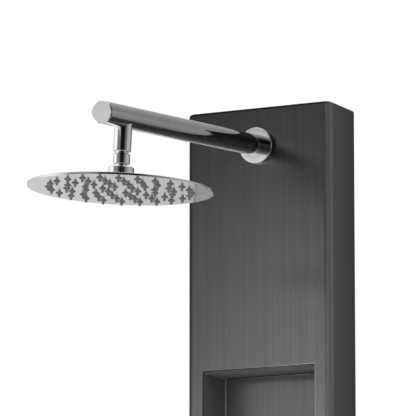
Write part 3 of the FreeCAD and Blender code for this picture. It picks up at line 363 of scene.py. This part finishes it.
def niche_tray():
    """Tray behind the opening, with rounded inner corners and a flange round its mouth."""
    bm = bmesh.new()
    mouth = [bm.verts.new((x, NICHE_LOW.y, z)) for x, z in opening_corners()]
    rear = [bm.verts.new((x, NICHE_HIGH.y - NICHE_SHEET, z)) for x, z in opening_corners()]
    wall(bm, mouth, rear)
    bm.faces.new(rear)
    inner = [edge for edge in bm.edges if len(edge.link_faces) == 2]
    bevel(bm, inner, NICHE_CORNER, NICHE_CORNER_STEPS)
    tray_flange(bm)
    obj = piece("niche_tray", bm, "panel", "panel_steel", "niche_box")
    thicken(obj, NICHE_SHEET)
    smooth(obj)
    return obj


def lathe(bm, centre, across, axis, profile):
    """Closed turned shape; the profile goes from the axis to the axis as (radius, height) pairs."""
    rings = []
    for radius, height in profile:
        at = centre + axis * height
        rings.append(circle(bm, at, radius, across, NOZZLE_STEPS) if radius else [bm.verts.new(at)])
    for low, high in zip(rings, rings[1:]):
        wall(bm, low, high)


def spray_mat():
    """Silicone mat in the rain head with its rings of lipped nozzles, which come through the face plate."""
    spin = next(joint for joint in frame["joints"] if joint["name"] == "head_spin")
    axis = Vector(spin["axis"]).normalized()
    side = (SIDE - axis * axis.x).normalized()
    across = (side, axis.cross(side))
    face = middle("head_face_plate") - axis * (FACE_PLATE_SHEET / 2)
    bm = bmesh.new()
    sheet_top = FACE_PLATE_SHEET + MAT_SHEET
    sheet = [(0, FACE_PLATE_SHEET), (MAT_RADIUS, FACE_PLATE_SHEET), (MAT_RADIUS, sheet_top), (0, sheet_top)]
    lathe(bm, face, across, axis, sheet)
    for ring, phase in enumerate(NOZZLE_RING_PHASES_DEG, start=1):
        count = NOZZLES_PER_STEP * ring
        for index in range(count):
            angle = math.radians(phase) + math.tau * index / count
            away = across[0] * math.cos(angle) + across[1] * math.sin(angle)
            lathe(bm, face + away * (NOZZLE_RING_STEP * ring), across, axis, NOZZLE_PROFILE)
    obj = piece("spray_mat", bm, "rain_head", "nozzle_silicone", "nozzle_mat")
    smooth(obj)
    return obj


def flange_face(seat_radius, radius):
    """Profile of the flange from its bore over the arm's seat, the groove and the rounded edge."""
    face = FLANGE_THICKNESS
    seat = face - ARM_SEAT_DEPTH
    profile = [(SHANK_BORE_RADIUS, seat), (seat_radius, seat), (seat_radius, face)]
    half_mouth, half_floor = FLANGE_GROOVE_WIDTH / 2, FLANGE_GROOVE_WIDTH / 4
    groove = face - FLANGE_GROOVE_DEPTH
    profile += [(FLANGE_GROOVE_RADIUS - half_mouth, face), (FLANGE_GROOVE_RADIUS - half_floor, groove)]
    profile += [(FLANGE_GROOVE_RADIUS + half_floor, groove), (FLANGE_GROOVE_RADIUS + half_mouth, face)]
    for step in range(FLANGE_EDGE_STEPS + 1):
        angle = math.pi / 2 * step / FLANGE_EDGE_STEPS
        across = radius - FLANGE_EDGE * (1 - math.sin(angle))
        profile.append((across, face - FLANGE_EDGE * (1 - math.cos(angle))))
    return profile


def wall_flange():
    """Round flange, square to the drooping arm, on the column's front, with its shank through the sheet."""
    low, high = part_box("arm_flange")
    radius = (high.x - low.x) / 2
    arm_low, arm_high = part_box("arm_tube")
    seat_radius = (arm_high.x - arm_low.x) / 2 + ARM_SEAT_CLEARANCE
    centre = Vector((0, PANEL_LOW.y, middle("arm_gasket").z))
    axis = (middle("arm_end_cap") - centre).normalized()
    across = (SIDE, SIDE.cross(axis).normalized())
    bm = bmesh.new()
    rings = []
    for reach, height in flange_face(seat_radius, radius):
        rings.append(circle(bm, centre + axis * height, reach, across, FLANGE_STEPS))
    foot = circle(bm, centre, radius, across, FLANGE_STEPS)
    for vertex in foot:
        vertex.co -= axis * ((vertex.co.y - centre.y) / axis.y)
    rings.append(foot)
    for reach, depth in (
        (GASKET_SEAT_RADIUS, 0),
        (GASKET_SEAT_RADIUS, -GASKET_SEAT_DEPTH),
        (SHANK_RADIUS, -GASKET_SEAT_DEPTH),
        (SHANK_RADIUS, SHANK_LENGTH),
        (SHANK_BORE_RADIUS, SHANK_LENGTH),
    ):
        rings.append(circle(bm, centre + BACK * depth, reach, (SIDE, UP), FLANGE_STEPS))
    for first, second in zip(rings, rings[1:] + rings[:1]):
        wall(bm, first, second)
    obj = piece("wall_flange", bm, "panel", "chrome", "arm_flange")
    smooth(obj)
    return obj


# Materials: scales of noise are per metre along X, Y and Z, CRISP is the detail and roughness of a noise with
# hard edges, and most values of a noise lie between NOISE_START and NOISE_END
CRISP = (4, 0.6)
NOISE_START, NOISE_END = 0.3, 0.7
WIPE_SCALE = (60, 60, 60)
GRAIN_SCALE = (400, 400, 400)
FINE_GRAIN_SCALE = (900, 900, 900)
GRAIN_RELIEF, GRAIN_DEPTH = 0.05, 0.0001
DRAWN_RELIEF, DRAWN_DEPTH = 0.04, 0.0001

# Brushed steel: fine and broad vertical lines, the broad ones with their change of colour
BRUSH_FINE_SCALE = (700, 700, 3)
BRUSH_BROAD_SCALE = (380, 380, 7)
BRUSH_BROAD_DARK, BRUSH_BROAD_LIGHT = 0.86, 1.02
BRUSH_ROUGHNESS = (0.21, 0.268)
BRUSH_ANISOTROPY = 0.93
BRUSH_RELIEF, BRUSH_DEPTH = 0.04, 0.0002

# Painted light and shade in the steel, as shares of its colour on the flat front: a painted highlight on the
# right fold, painted light on level faces, a painted dark reflection on level edges and painted shade towards
# the wall and the left edge; with the roughness that is added on folds and level faces; a surface is turned
# where two parts of its direction multiply to these values
TURNED_START, TURNED_END = 0.12, 0.4
FOLD_HIGHLIGHT_SHARE, FOLD_ROUGHNESS = 2.5, 0.3
LEVEL_EDGE_REFLECTION_SHARE = 0.12
LEVEL_FACE_LIGHT_SHARE, LEVEL_FACE_ROUGHNESS = 2.1, 0.4
WALL_SHADE_SHARE = 0.5
LEFT_SHADE_SHARE = 0.72
LEFT_SHADE_END = PANEL_WIDTH / 6


def material(name):
    """New node material with its node tree and shader."""
    made = bpy.data.materials.new(name)
    made.use_nodes = True
    tree = made.node_tree
    return made, tree, tree.nodes["Principled BSDF"]


def add(tree, kind, **settings):
    """Adds a node and sets its properties."""
    node = tree.nodes.new(kind)
    for key, value in settings.items():
        setattr(node, key, value)
    return node


def noise(tree, scale, detail=3, roughness=0.5):
    """Noise in the object's own coordinates, with a scale per metre along each axis."""
    place = add(tree, "ShaderNodeTexCoord")
    mapping = add(tree, "ShaderNodeMapping")
    mapping.inputs["Scale"].default_value = scale
    texture = add(tree, "ShaderNodeTexNoise")
    texture.inputs["Scale"].default_value = 1
    texture.inputs["Detail"].default_value = detail
    texture.inputs["Roughness"].default_value = roughness
    tree.links.new(place.outputs["Object"], mapping.inputs["Vector"])
    tree.links.new(mapping.outputs["Vector"], texture.inputs["Vector"])
    return texture.outputs["Fac"]


def spread(tree, source, low, high, start=NOISE_START, end=NOISE_END):
    """Maps values from start to end to a range of numbers."""
    mapped = add(tree, "ShaderNodeMapRange")
    mapped.inputs["From Min"].default_value = start
    mapped.inputs["From Max"].default_value = end
    mapped.inputs["To Min"].default_value = low
    mapped.inputs["To Max"].default_value = high
    tree.links.new(source, mapped.inputs["Value"])
    return mapped.outputs["Result"]


def tint(tree, source, dark, light, start=NOISE_START, end=NOISE_END):
    """Maps values from start to end to colours between two tints."""
    ramp = add(tree, "ShaderNodeValToRGB")
    ramp.color_ramp.elements[0].position = start
    ramp.color_ramp.elements[0].color = (*dark, 1)
    ramp.color_ramp.elements[1].position = end
    ramp.color_ramp.elements[1].color = (*light, 1)
    tree.links.new(source, ramp.inputs["Fac"])
    return ramp.outputs["Color"]


def grey(value):
    """Colour without a hue."""
    return (value, value, value)


def multiplied(tree, colour, factors):
    """Colour times each of some other colours or values."""
    for factor in factors:
        mixed = add(tree, "ShaderNodeMix", data_type="RGBA", blend_type="MULTIPLY")
        mixed.inputs["Factor"].default_value = 1
        tree.links.new(colour, mixed.inputs["A"])
        tree.links.new(factor, mixed.inputs["B"])
        colour = mixed.outputs["Result"]
    return colour


def reckoned(tree, operation, *sources):
    """Result of a calculation with one or two values."""
    made = add(tree, "ShaderNodeMath", operation=operation)
    for index, source in enumerate(sources):
        tree.links.new(source, made.inputs[index])
    return made.outputs["Value"]


def relief(tree, shader, source, strength, distance):
    """Fine surface relief from a noise value."""
    bump = add(tree, "ShaderNodeBump")
    bump.inputs["Strength"].default_value = strength
    bump.inputs["Distance"].default_value = distance
    tree.links.new(source, bump.inputs["Height"])
    tree.links.new(bump.outputs["Normal"], shader.inputs["Normal"])


def axes_of(tree, output):
    """X, Y and Z of the object's own place or direction."""
    place = add(tree, "ShaderNodeTexCoord")
    axes = add(tree, "ShaderNodeSeparateXYZ")
    tree.links.new(place.outputs[output], axes.inputs["Vector"])
    return axes.outputs


def right_fold(tree, start):
    """One on an upright fold to the right of a place, from the surface's own direction; nothing elsewhere."""
    facing = axes_of(tree, "Normal")
    turn = reckoned(tree, "MULTIPLY", facing["X"], facing["Y"])
    turned = spread(tree, turn, 0, 1, -TURNED_START, -TURNED_END)
    away = reckoned(tree, "ABSOLUTE", axes_of(tree, "Object")["X"])
    beyond = spread(tree, away, 0, 1, start, start + NEAR)
    return reckoned(tree, "MULTIPLY", turned, beyond)


def level_edge(tree):
    """One on a rounded level edge, nothing on flat faces."""
    facing = axes_of(tree, "Normal")
    turn = reckoned(tree, "ABSOLUTE", reckoned(tree, "MULTIPLY", facing["Y"], facing["Z"]))
    return spread(tree, turn, 0, 1, TURNED_START, TURNED_END)


def painted_shade(tree):
    """Painted shade: the colour gets darker towards the wall and towards the column's left edge."""
    place = axes_of(tree, "Object")
    back = spread(tree, place["Y"], 1, WALL_SHADE_SHARE, PANEL_LOW.y + PANEL_BEND_RADIUS, PANEL_HIGH.y)
    left = spread(tree, place["X"], LEFT_SHADE_SHARE, 1, PANEL_LOW.x, LEFT_SHADE_END)
    return reckoned(tree, "MULTIPLY", back, left)


def brushed(name, colours, metallic, fold_start, with_painted_shade):
    """Dark steel with vertical brush lines: painted light on a fold and on level faces, which are also
    duller, and a painted dark reflection on level edges.
    """
    made, tree, shader = material(name)
    fine = noise(tree, BRUSH_FINE_SCALE, *CRISP)
    broad = noise(tree, BRUSH_BROAD_SCALE)
    # mask of the fold's painted highlight and of its added roughness
    fold = right_fold(tree, fold_start)
    # mask of the painted light on level faces and of their added roughness
    level = reckoned(tree, "ABSOLUTE", axes_of(tree, "Normal")["Z"])
    factors = [
        tint(tree, broad, grey(BRUSH_BROAD_DARK), grey(BRUSH_BROAD_LIGHT)),
        # painted dark reflection on level rounded edges
        tint(tree, level_edge(tree), grey(1), grey(LEVEL_EDGE_REFLECTION_SHARE), 0, 1),
        # painted light on level faces
        tint(tree, level, grey(1), grey(LEVEL_FACE_LIGHT_SHARE), 0, 1),
        # painted highlight on the right fold
        tint(tree, fold, grey(1), grey(FOLD_HIGHLIGHT_SHARE), 0, 1),
    ]
    # painted shade towards the wall and the left edge
    if with_painted_shade:
        factors.append(painted_shade(tree))
    colour = multiplied(tree, tint(tree, fine, *colours), factors)
    tree.links.new(colour, shader.inputs["Base Color"])
    dull_fold = spread(tree, fold, 0, FOLD_ROUGHNESS, 0, 1)
    dull_level = spread(tree, level, 0, LEVEL_FACE_ROUGHNESS, 0, 1)
    dull = reckoned(tree, "ADD", dull_fold, dull_level)
    roughness = reckoned(tree, "ADD", spread(tree, fine, *BRUSH_ROUGHNESS), dull)
    tree.links.new(roughness, shader.inputs["Roughness"])
    shader.inputs["Metallic"].default_value = metallic
    shader.inputs["Anisotropic"].default_value = BRUSH_ANISOTROPY
    tangent = add(tree, "ShaderNodeTangent", direction_type="RADIAL", axis="Z")
    tree.links.new(tangent.outputs["Tangent"], shader.inputs["Tangent"])
    relief(tree, shader, fine, BRUSH_RELIEF, BRUSH_DEPTH)
    return made


def varied(name, colours, roughness, scale, *character):
    """Material whose colour and roughness follow one noise; gives its parts and that noise."""
    made, tree, shader = material(name)
    source = noise(tree, scale, *character)
    tree.links.new(tint(tree, source, *colours), shader.inputs["Base Color"])
    tree.links.new(spread(tree, source, *roughness), shader.inputs["Roughness"])
    return made, tree, shader, source


def polished(name, colours, roughness):
    """Polished metal with faint wipe marks in its gloss."""
    made, _, shader, _ = varied(name, colours, roughness, WIPE_SCALE, *CRISP)
    shader.inputs["Metallic"].default_value = 1
    return made


def moulded(name, colours, roughness, scale=GRAIN_SCALE):
    """Moulded plastic or rubber with a fine grain."""
    made, tree, shader, grain = varied(name, colours, roughness, scale)
    relief(tree, shader, grain, GRAIN_RELIEF, GRAIN_DEPTH)
    return made


def drawn(name, colours, roughness, scale):
    """Machined or drawn metal with lines along one axis."""
    made, tree, shader, lines = varied(name, colours, roughness, scale, *CRISP)
    shader.inputs["Metallic"].default_value = 1
    relief(tree, shader, lines, DRAWN_RELIEF, DRAWN_DEPTH)
    return made


def finishes():
    """Material of each slot of the record, and the niche's own steel."""
    return {
        "panel_steel": brushed(
            "panel_steel",
            colours=((0.216, 0.217, 0.218), (0.28, 0.281, 0.282)),
            metallic=1,
            fold_start=PANEL_HIGH.x - PANEL_BEND_RADIUS,
            with_painted_shade=True,
        ),
        "niche_steel": brushed(
            "niche_steel",
            colours=((0.19, 0.191, 0.192), (0.246, 0.247, 0.248)),
            metallic=0.5,
            # with the fold starting at the middle, the fold's painted highlight falls on the niche's inner
            # back-left corner
            fold_start=0,
            with_painted_shade=False,
        ),
        "chrome": polished(
            "chrome", colours=((0.76, 0.76, 0.77), (0.82, 0.82, 0.83)), roughness=(0.03, 0.06)
        ),
        "head_steel": polished(
            "head_steel", colours=((0.66, 0.66, 0.665), (0.72, 0.72, 0.725)), roughness=(0.12, 0.18)
        ),
        "nozzle_silicone": moulded(
            "nozzle_silicone",
            colours=((0.2, 0.202, 0.203), (0.25, 0.252, 0.253)),
            roughness=(0.45, 0.6),
            scale=FINE_GRAIN_SCALE,
        ),
        "brass": drawn(
            "brass",
            colours=((0.55, 0.39, 0.16), (0.66, 0.48, 0.22)),
            roughness=(0.22, 0.35),
            scale=(500, 500, 40),
        ),
        "pipe_steel": drawn(
            "pipe_steel", colours=(grey(0.5), grey(0.62)), roughness=(0.2, 0.3), scale=(900, 900, 6)
        ),
        "bracket_steel": drawn(
            "bracket_steel",
            colours=((0.46, 0.46, 0.47), (0.58, 0.58, 0.59)),
            roughness=(0.3, 0.42),
            scale=(8, 700, 700),
        ),
        "seal_rubber": moulded("seal_rubber", colours=(grey(0.02), grey(0.035)), roughness=(0.6, 0.75)),
        "white_plastic": moulded(
            "white_plastic", colours=((0.74, 0.74, 0.72), (0.82, 0.82, 0.8)), roughness=(0.35, 0.5)
        ),
        "plug_plastic": moulded(
            "plug_plastic", colours=((0.42, 0.42, 0.44), (0.52, 0.52, 0.54)), roughness=(0.2, 0.32)
        ),
    }


def dress(pieces):
    """Gives every CAD node the material of its slot, and every new piece its own."""
    finish = finishes()
    for subpart in RECORD["subparts"]:
        node = frame["nodes"][subpart["node"]]
        for slot in node.material_slots:
            slot.material = finish[subpart["material_slot"]]
    for obj, name in pieces:
        obj.data.materials.clear()
        obj.data.materials.append(finish[name])


# Stage: a pale floor under the column
FLOOR_GAP = 0.002
FLOOR_SIZE = 60.0
FLOOR_COLOURS = (grey(0.82), grey(0.86))
FLOOR_SCALE = (3, 3, 3)
FLOOR_ROUGHNESS = 0.7

# Two round studio screens that only reflections see, each with an apron below and a lid. A screen's bands are
# heights with (azimuth in degrees, grey) stops; azimuth 0 is in front, 90 on the right
SCREEN_TOP, SCREEN_FOOT, SCREEN_APRON = 4.5, -0.3, -0.64
SCREEN_LID_RADIUS = 0.01
SCREEN_APRON_RADIUS = 0.4
SCREEN_STEPS = 96
CHROME_SCREEN_RADIUS = 2.6
CHROME_BANDS = (
    (-0.6, ((-180, 0.4), (-60, 0.8), (0, 0.5), (60, 0.5), (180, 0.4))),
    (-0.35, (
        (-180, 0.06), (-166, 0.22), (-155, 0.45), (-146, 0.7), (-125, 0.9), (-100, 1.5), (-70, 1.5),
        (-45, 0.9), (-12, 0.8), (2, 0.03), (60, 0.03), (90, 0.2), (130, 0.03), (168, 0.03), (180, 0.06),
    )),
    (0.1, (
        (-180, 0.1), (-166, 0.25), (-155, 0.45), (-146, 0.7), (-125, 0.9), (-105, 1.5), (-75, 1.5),
        (-45, 0.9), (-12, 0.8), (2, 0.02), (52, 0.02), (90, 0.5), (130, 0.3), (150, 0.22), (162, 0.2),
        (180, 0.1),
    )),
    (0.6, (
        (-180, 0.2), (-155, 0.45), (-135, 0.8), (-115, 1.5), (-85, 1.5), (-60, 0.8), (-10, 0.78), (4, 0.04),
        (44, 0.03), (56, 0.3), (90, 0.65), (122, 0.5), (138, 0.3), (150, 0.26), (180, 0.2),
    )),
    (1.0, (
        (-180, 0.3), (-150, 0.5), (-113, 0.7), (-82, 0.92), (-68, 1.3), (-52, 1.25), (-39, 0.85), (-32, 0.3),
        (-25, 0.22), (-6, 0.2), (4, 0.07), (14, 0.0), (42, 0.0), (52, 0.03), (64, 0.09), (80, 0.24),
        (94, 0.45), (116, 0.5), (136, 0.42), (150, 0.26), (158, 0.26), (168, 0.36), (180, 0.3),
    )),
    (2.0, (
        (-180, 0.3), (-150, 0.45), (-110, 0.8), (-60, 0.9), (-20, 0.8), (0, 0.2), (10, 0.02), (60, 0.02),
        (95, 0.35), (140, 0.2), (180, 0.3),
    )),
    (4.2, ((-180, 0.5), (180, 0.5))),
)
PANEL_SCREEN_RADIUS = 2.7
PANEL_BANDS = (
    (-0.6, ((-180, 0.1), (180, 0.1))),
    (-0.22, (
        (-180, 0.12), (-75, 0.2), (-50, 0.9), (-22, 0.9), (-4, 0.2), (4, 0.0), (46, 0.0), (70, 0.2),
        (180, 0.2),
    )),
    (0.0, (
        (-180, 0.12), (-75, 0.2), (-50, 3.3), (-22, 3.4), (-14, 1.3), (-4, 0.25), (4, 0.0), (46, 0.0),
        (70, 0.2), (180, 0.2),
    )),
    (0.8, (
        (-180, 0.12), (-75, 0.15), (-50, 0.38), (-34, 0.55), (-20, 0.8), (-10, 0.8), (-2, 0.2), (4, 0.0),
        (46, 0.0), (70, 0.4), (90, 0.4), (120, 0.3), (153, 0.25), (180, 0.12),
    )),
    (1.22, (
        (-180, 0.1), (-75, 0.12), (-50, 0.15), (-34, 0.18), (-12, 0.2), (0, 0.0), (46, 0.0), (70, 0.3),
        (90, 0.32), (120, 0.28), (153, 0.24), (180, 0.1),
    )),
    (3.0, ((-180, 0.12), (180, 0.12))),
)

# Soft square lamps: name, azimuth and elevation in degrees, distance and side in metres, power in watts; and
# the even light of the room
LAMP_TARGET = Vector((0, -0.1, 0.4))
LAMPS = (
    ("key", -75, 25, 2.4, 2.4, 16),
    ("fill", 72, 12, 2.4, 2.0, 10),
    ("low", 40, -22, 2.3, 1.4, 2),
)
ROOM_GREY = 0.6


def floor_paint():
    """Pale floor, seen from above only, so that views from below stay open."""
    made, tree, shader = material("floor")
    clouds = noise(tree, FLOOR_SCALE)
    tree.links.new(tint(tree, clouds, *FLOOR_COLOURS), shader.inputs["Base Color"])
    shader.inputs["Roughness"].default_value = FLOOR_ROUGHNESS
    clear = add(tree, "ShaderNodeBsdfTransparent")
    side = add(tree, "ShaderNodeNewGeometry")
    choice = add(tree, "ShaderNodeMixShader")
    tree.links.new(side.outputs["Backfacing"], choice.inputs["Fac"])
    tree.links.new(shader.outputs["BSDF"], choice.inputs[1])
    tree.links.new(clear.outputs["BSDF"], choice.inputs[2])
    tree.links.new(choice.outputs["Shader"], tree.nodes["Material Output"].inputs["Surface"])
    return made


def floor():
    """Level square a little under the column."""
    half, z = FLOOR_SIZE / 2, CAD_BOX[0][2] - FLOOR_GAP
    corners = [(-half, -half, z), (half, -half, z), (half, half, z), (-half, half, z)]
    bm = bmesh.new()
    bm.faces.new([bm.verts.new(corner) for corner in corners])
    obj = object_of("floor", bm)
    obj.data.materials.append(floor_paint())


def by_azimuth(tree, angle, stops):
    """Grey over the azimuth, which is counted from the front towards the right, in degrees."""
    ramp = add(tree, "ShaderNodeValToRGB")
    elements = ramp.color_ramp.elements
    elements.remove(elements[1])
    for index, (azimuth_deg, value) in enumerate(stops):
        place = (azimuth_deg + 180) / 360
        element = elements.new(place) if index else elements[0]
        element.position = place
        element.color = (*grey(value), 1)
    tree.links.new(spread(tree, angle, 0, 1, -math.pi, math.pi), ramp.inputs["Fac"])
    return ramp.outputs["Color"]


def glow_colour(tree, bands):
    """Grey that changes with the azimuth and, from band to band, with the height."""
    place = axes_of(tree, "Object")
    forward = add(tree, "ShaderNodeMath", operation="MULTIPLY")
    forward.inputs[1].default_value = -1
    tree.links.new(place["Y"], forward.inputs[0])
    angle = reckoned(tree, "ARCTAN2", place["X"], forward.outputs["Value"])
    colour = by_azimuth(tree, angle, bands[0][1])
    for (start, _), (end, stops) in zip(bands, bands[1:]):
        height = add(tree, "ShaderNodeMapRange", interpolation_type="SMOOTHSTEP")
        height.inputs["From Min"].default_value = start
        height.inputs["From Max"].default_value = end
        tree.links.new(place["Z"], height.inputs["Value"])
        mixed = add(tree, "ShaderNodeMix", data_type="RGBA")
        tree.links.new(height.outputs["Result"], mixed.inputs["Factor"])
        tree.links.new(colour, mixed.inputs["A"])
        tree.links.new(by_azimuth(tree, angle, stops), mixed.inputs["B"])
        colour = mixed.outputs["Result"]
    return colour


def screen_glow(name, bands, clear):
    """Light of a screen's bands; a clear screen lets the light behind it through."""
    made, tree, shader = material(name)
    tree.nodes.remove(shader)
    glow = add(tree, "ShaderNodeEmission")
    tree.links.new(glow_colour(tree, bands), glow.inputs["Color"])
    surface = glow.outputs["Emission"]
    if clear:
        both = add(tree, "ShaderNodeAddShader")
        tree.links.new(surface, both.inputs[0])
        tree.links.new(add(tree, "ShaderNodeBsdfTransparent").outputs["BSDF"], both.inputs[1])
        surface = both.outputs["Shader"]
    tree.links.new(surface, tree.nodes["Material Output"].inputs["Surface"])
    return made


def screen(name, radius, glow, lit):
    """Round screen that only reflections see, and that lights some pieces alone."""
    bm = bmesh.new()
    rings = []
    for z, reach in (
        (SCREEN_APRON, SCREEN_APRON_RADIUS),
        (SCREEN_FOOT, radius),
        (SCREEN_TOP, radius),
        (SCREEN_TOP, SCREEN_LID_RADIUS),
    ):
        rings.append(circle(bm, UP * z, reach, (SIDE, BACK), SCREEN_STEPS))
    for low, high in zip(rings, rings[1:]):
        wall(bm, low, high)
    obj = object_of(name, bm)
    obj.data.materials.append(glow)
    obj.visible_camera = False
    obj.visible_diffuse = False
    obj.visible_shadow = False
    obj.visible_transmission = False
    receivers = bpy.data.collections.new(name)
    for receiver in lit:
        receivers.objects.link(receiver)
    obj.light_linking.receiver_collection = receivers


def screens(sheets, others):
    """Outer screen for the column's sheets and, inside it, a clear one for everything else."""
    rest = others + [node for node in frame["nodes"].values() if not node.hide_render]
    panel_glow = screen_glow("panel_screen", PANEL_BANDS, clear=False)
    screen("panel_screen", PANEL_SCREEN_RADIUS, panel_glow, sheets)
    chrome_glow = screen_glow("chrome_screen", CHROME_BANDS, clear=True)
    screen("chrome_screen", CHROME_SCREEN_RADIUS, chrome_glow, rest)


def lamp(name, azimuth_deg, elevation_deg, distance, size, power):
    """Soft square lamp that looks at the target; reflections don't see it."""
    azimuth, elevation = math.radians(azimuth_deg), math.radians(elevation_deg)
    level = SIDE * math.sin(azimuth) - BACK * math.cos(azimuth)
    away = level * math.cos(elevation) + UP * math.sin(elevation)
    data = bpy.data.lights.new(name, "AREA")
    data.shape = "SQUARE"
    data.size = size
    data.energy = power
    obj = bpy.data.objects.new(name, data)
    obj.location = LAMP_TARGET + away * distance
    obj.rotation_euler = away.to_track_quat("Z", "Y").to_euler()
    obj.visible_camera = False
    obj.visible_glossy = False
    bpy.context.scene.collection.objects.link(obj)


def world():
    """White for what the camera and reflections see, and a plain even light for the rest."""
    made = bpy.data.worlds.new("studio")
    made.use_nodes = True
    bpy.context.scene.world = made
    tree = made.node_tree
    background = tree.nodes["Background"]
    background.inputs["Color"].default_value = (*grey(ROOM_GREY), 1)
    white = add(tree, "ShaderNodeBackground")
    white.inputs["Color"].default_value = (*grey(1), 1)
    path = add(tree, "ShaderNodeLightPath")
    seen = path.outputs["Is Camera Ray"]
    for ray in ("Is Glossy Ray", "Is Transmission Ray"):
        seen = reckoned(tree, "MAXIMUM", seen, path.outputs[ray])
    choice = add(tree, "ShaderNodeMixShader")
    tree.links.new(seen, choice.inputs["Fac"])
    tree.links.new(background.outputs["Background"], choice.inputs[1])
    tree.links.new(white.outputs["Background"], choice.inputs[2])
    tree.links.new(choice.outputs["Shader"], tree.nodes["World Output"].inputs["Surface"])


def camera():
    """Camera of the photograph: it looks up at the column's top from the right."""
    data = bpy.data.cameras.new("camera")
    data.lens = CAMERA_LENS_MM
    data.sensor_width = CAMERA_SENSOR_MM
    data.clip_end = CAMERA_REACH
    obj = bpy.data.objects.new("camera", data)
    top_front = Vector((0, PANEL_LOW.y, PANEL_HIGH.z))
    obj.location = top_front + CAMERA_PLACE_WIDTHS * PANEL_WIDTH
    obj.rotation_euler = (math.pi / 2 + CAMERA_PITCH, 0, CAMERA_YAW)
    bpy.context.scene.collection.objects.link(obj)
    bpy.context.scene.camera = obj


shell = panel_shell()
tray = niche_tray()
mat = spray_mat()
flange = wall_flange()
dress([(shell, "panel_steel"), (tray, "niche_steel"), (mat, "nozzle_silicone"), (flange, "chrome")])
floor()
screens([shell, tray], [mat, flange])
for values in LAMPS:
    lamp(*values)
world()
camera()
bpy.context.scene.view_settings.view_transform = "Standard"
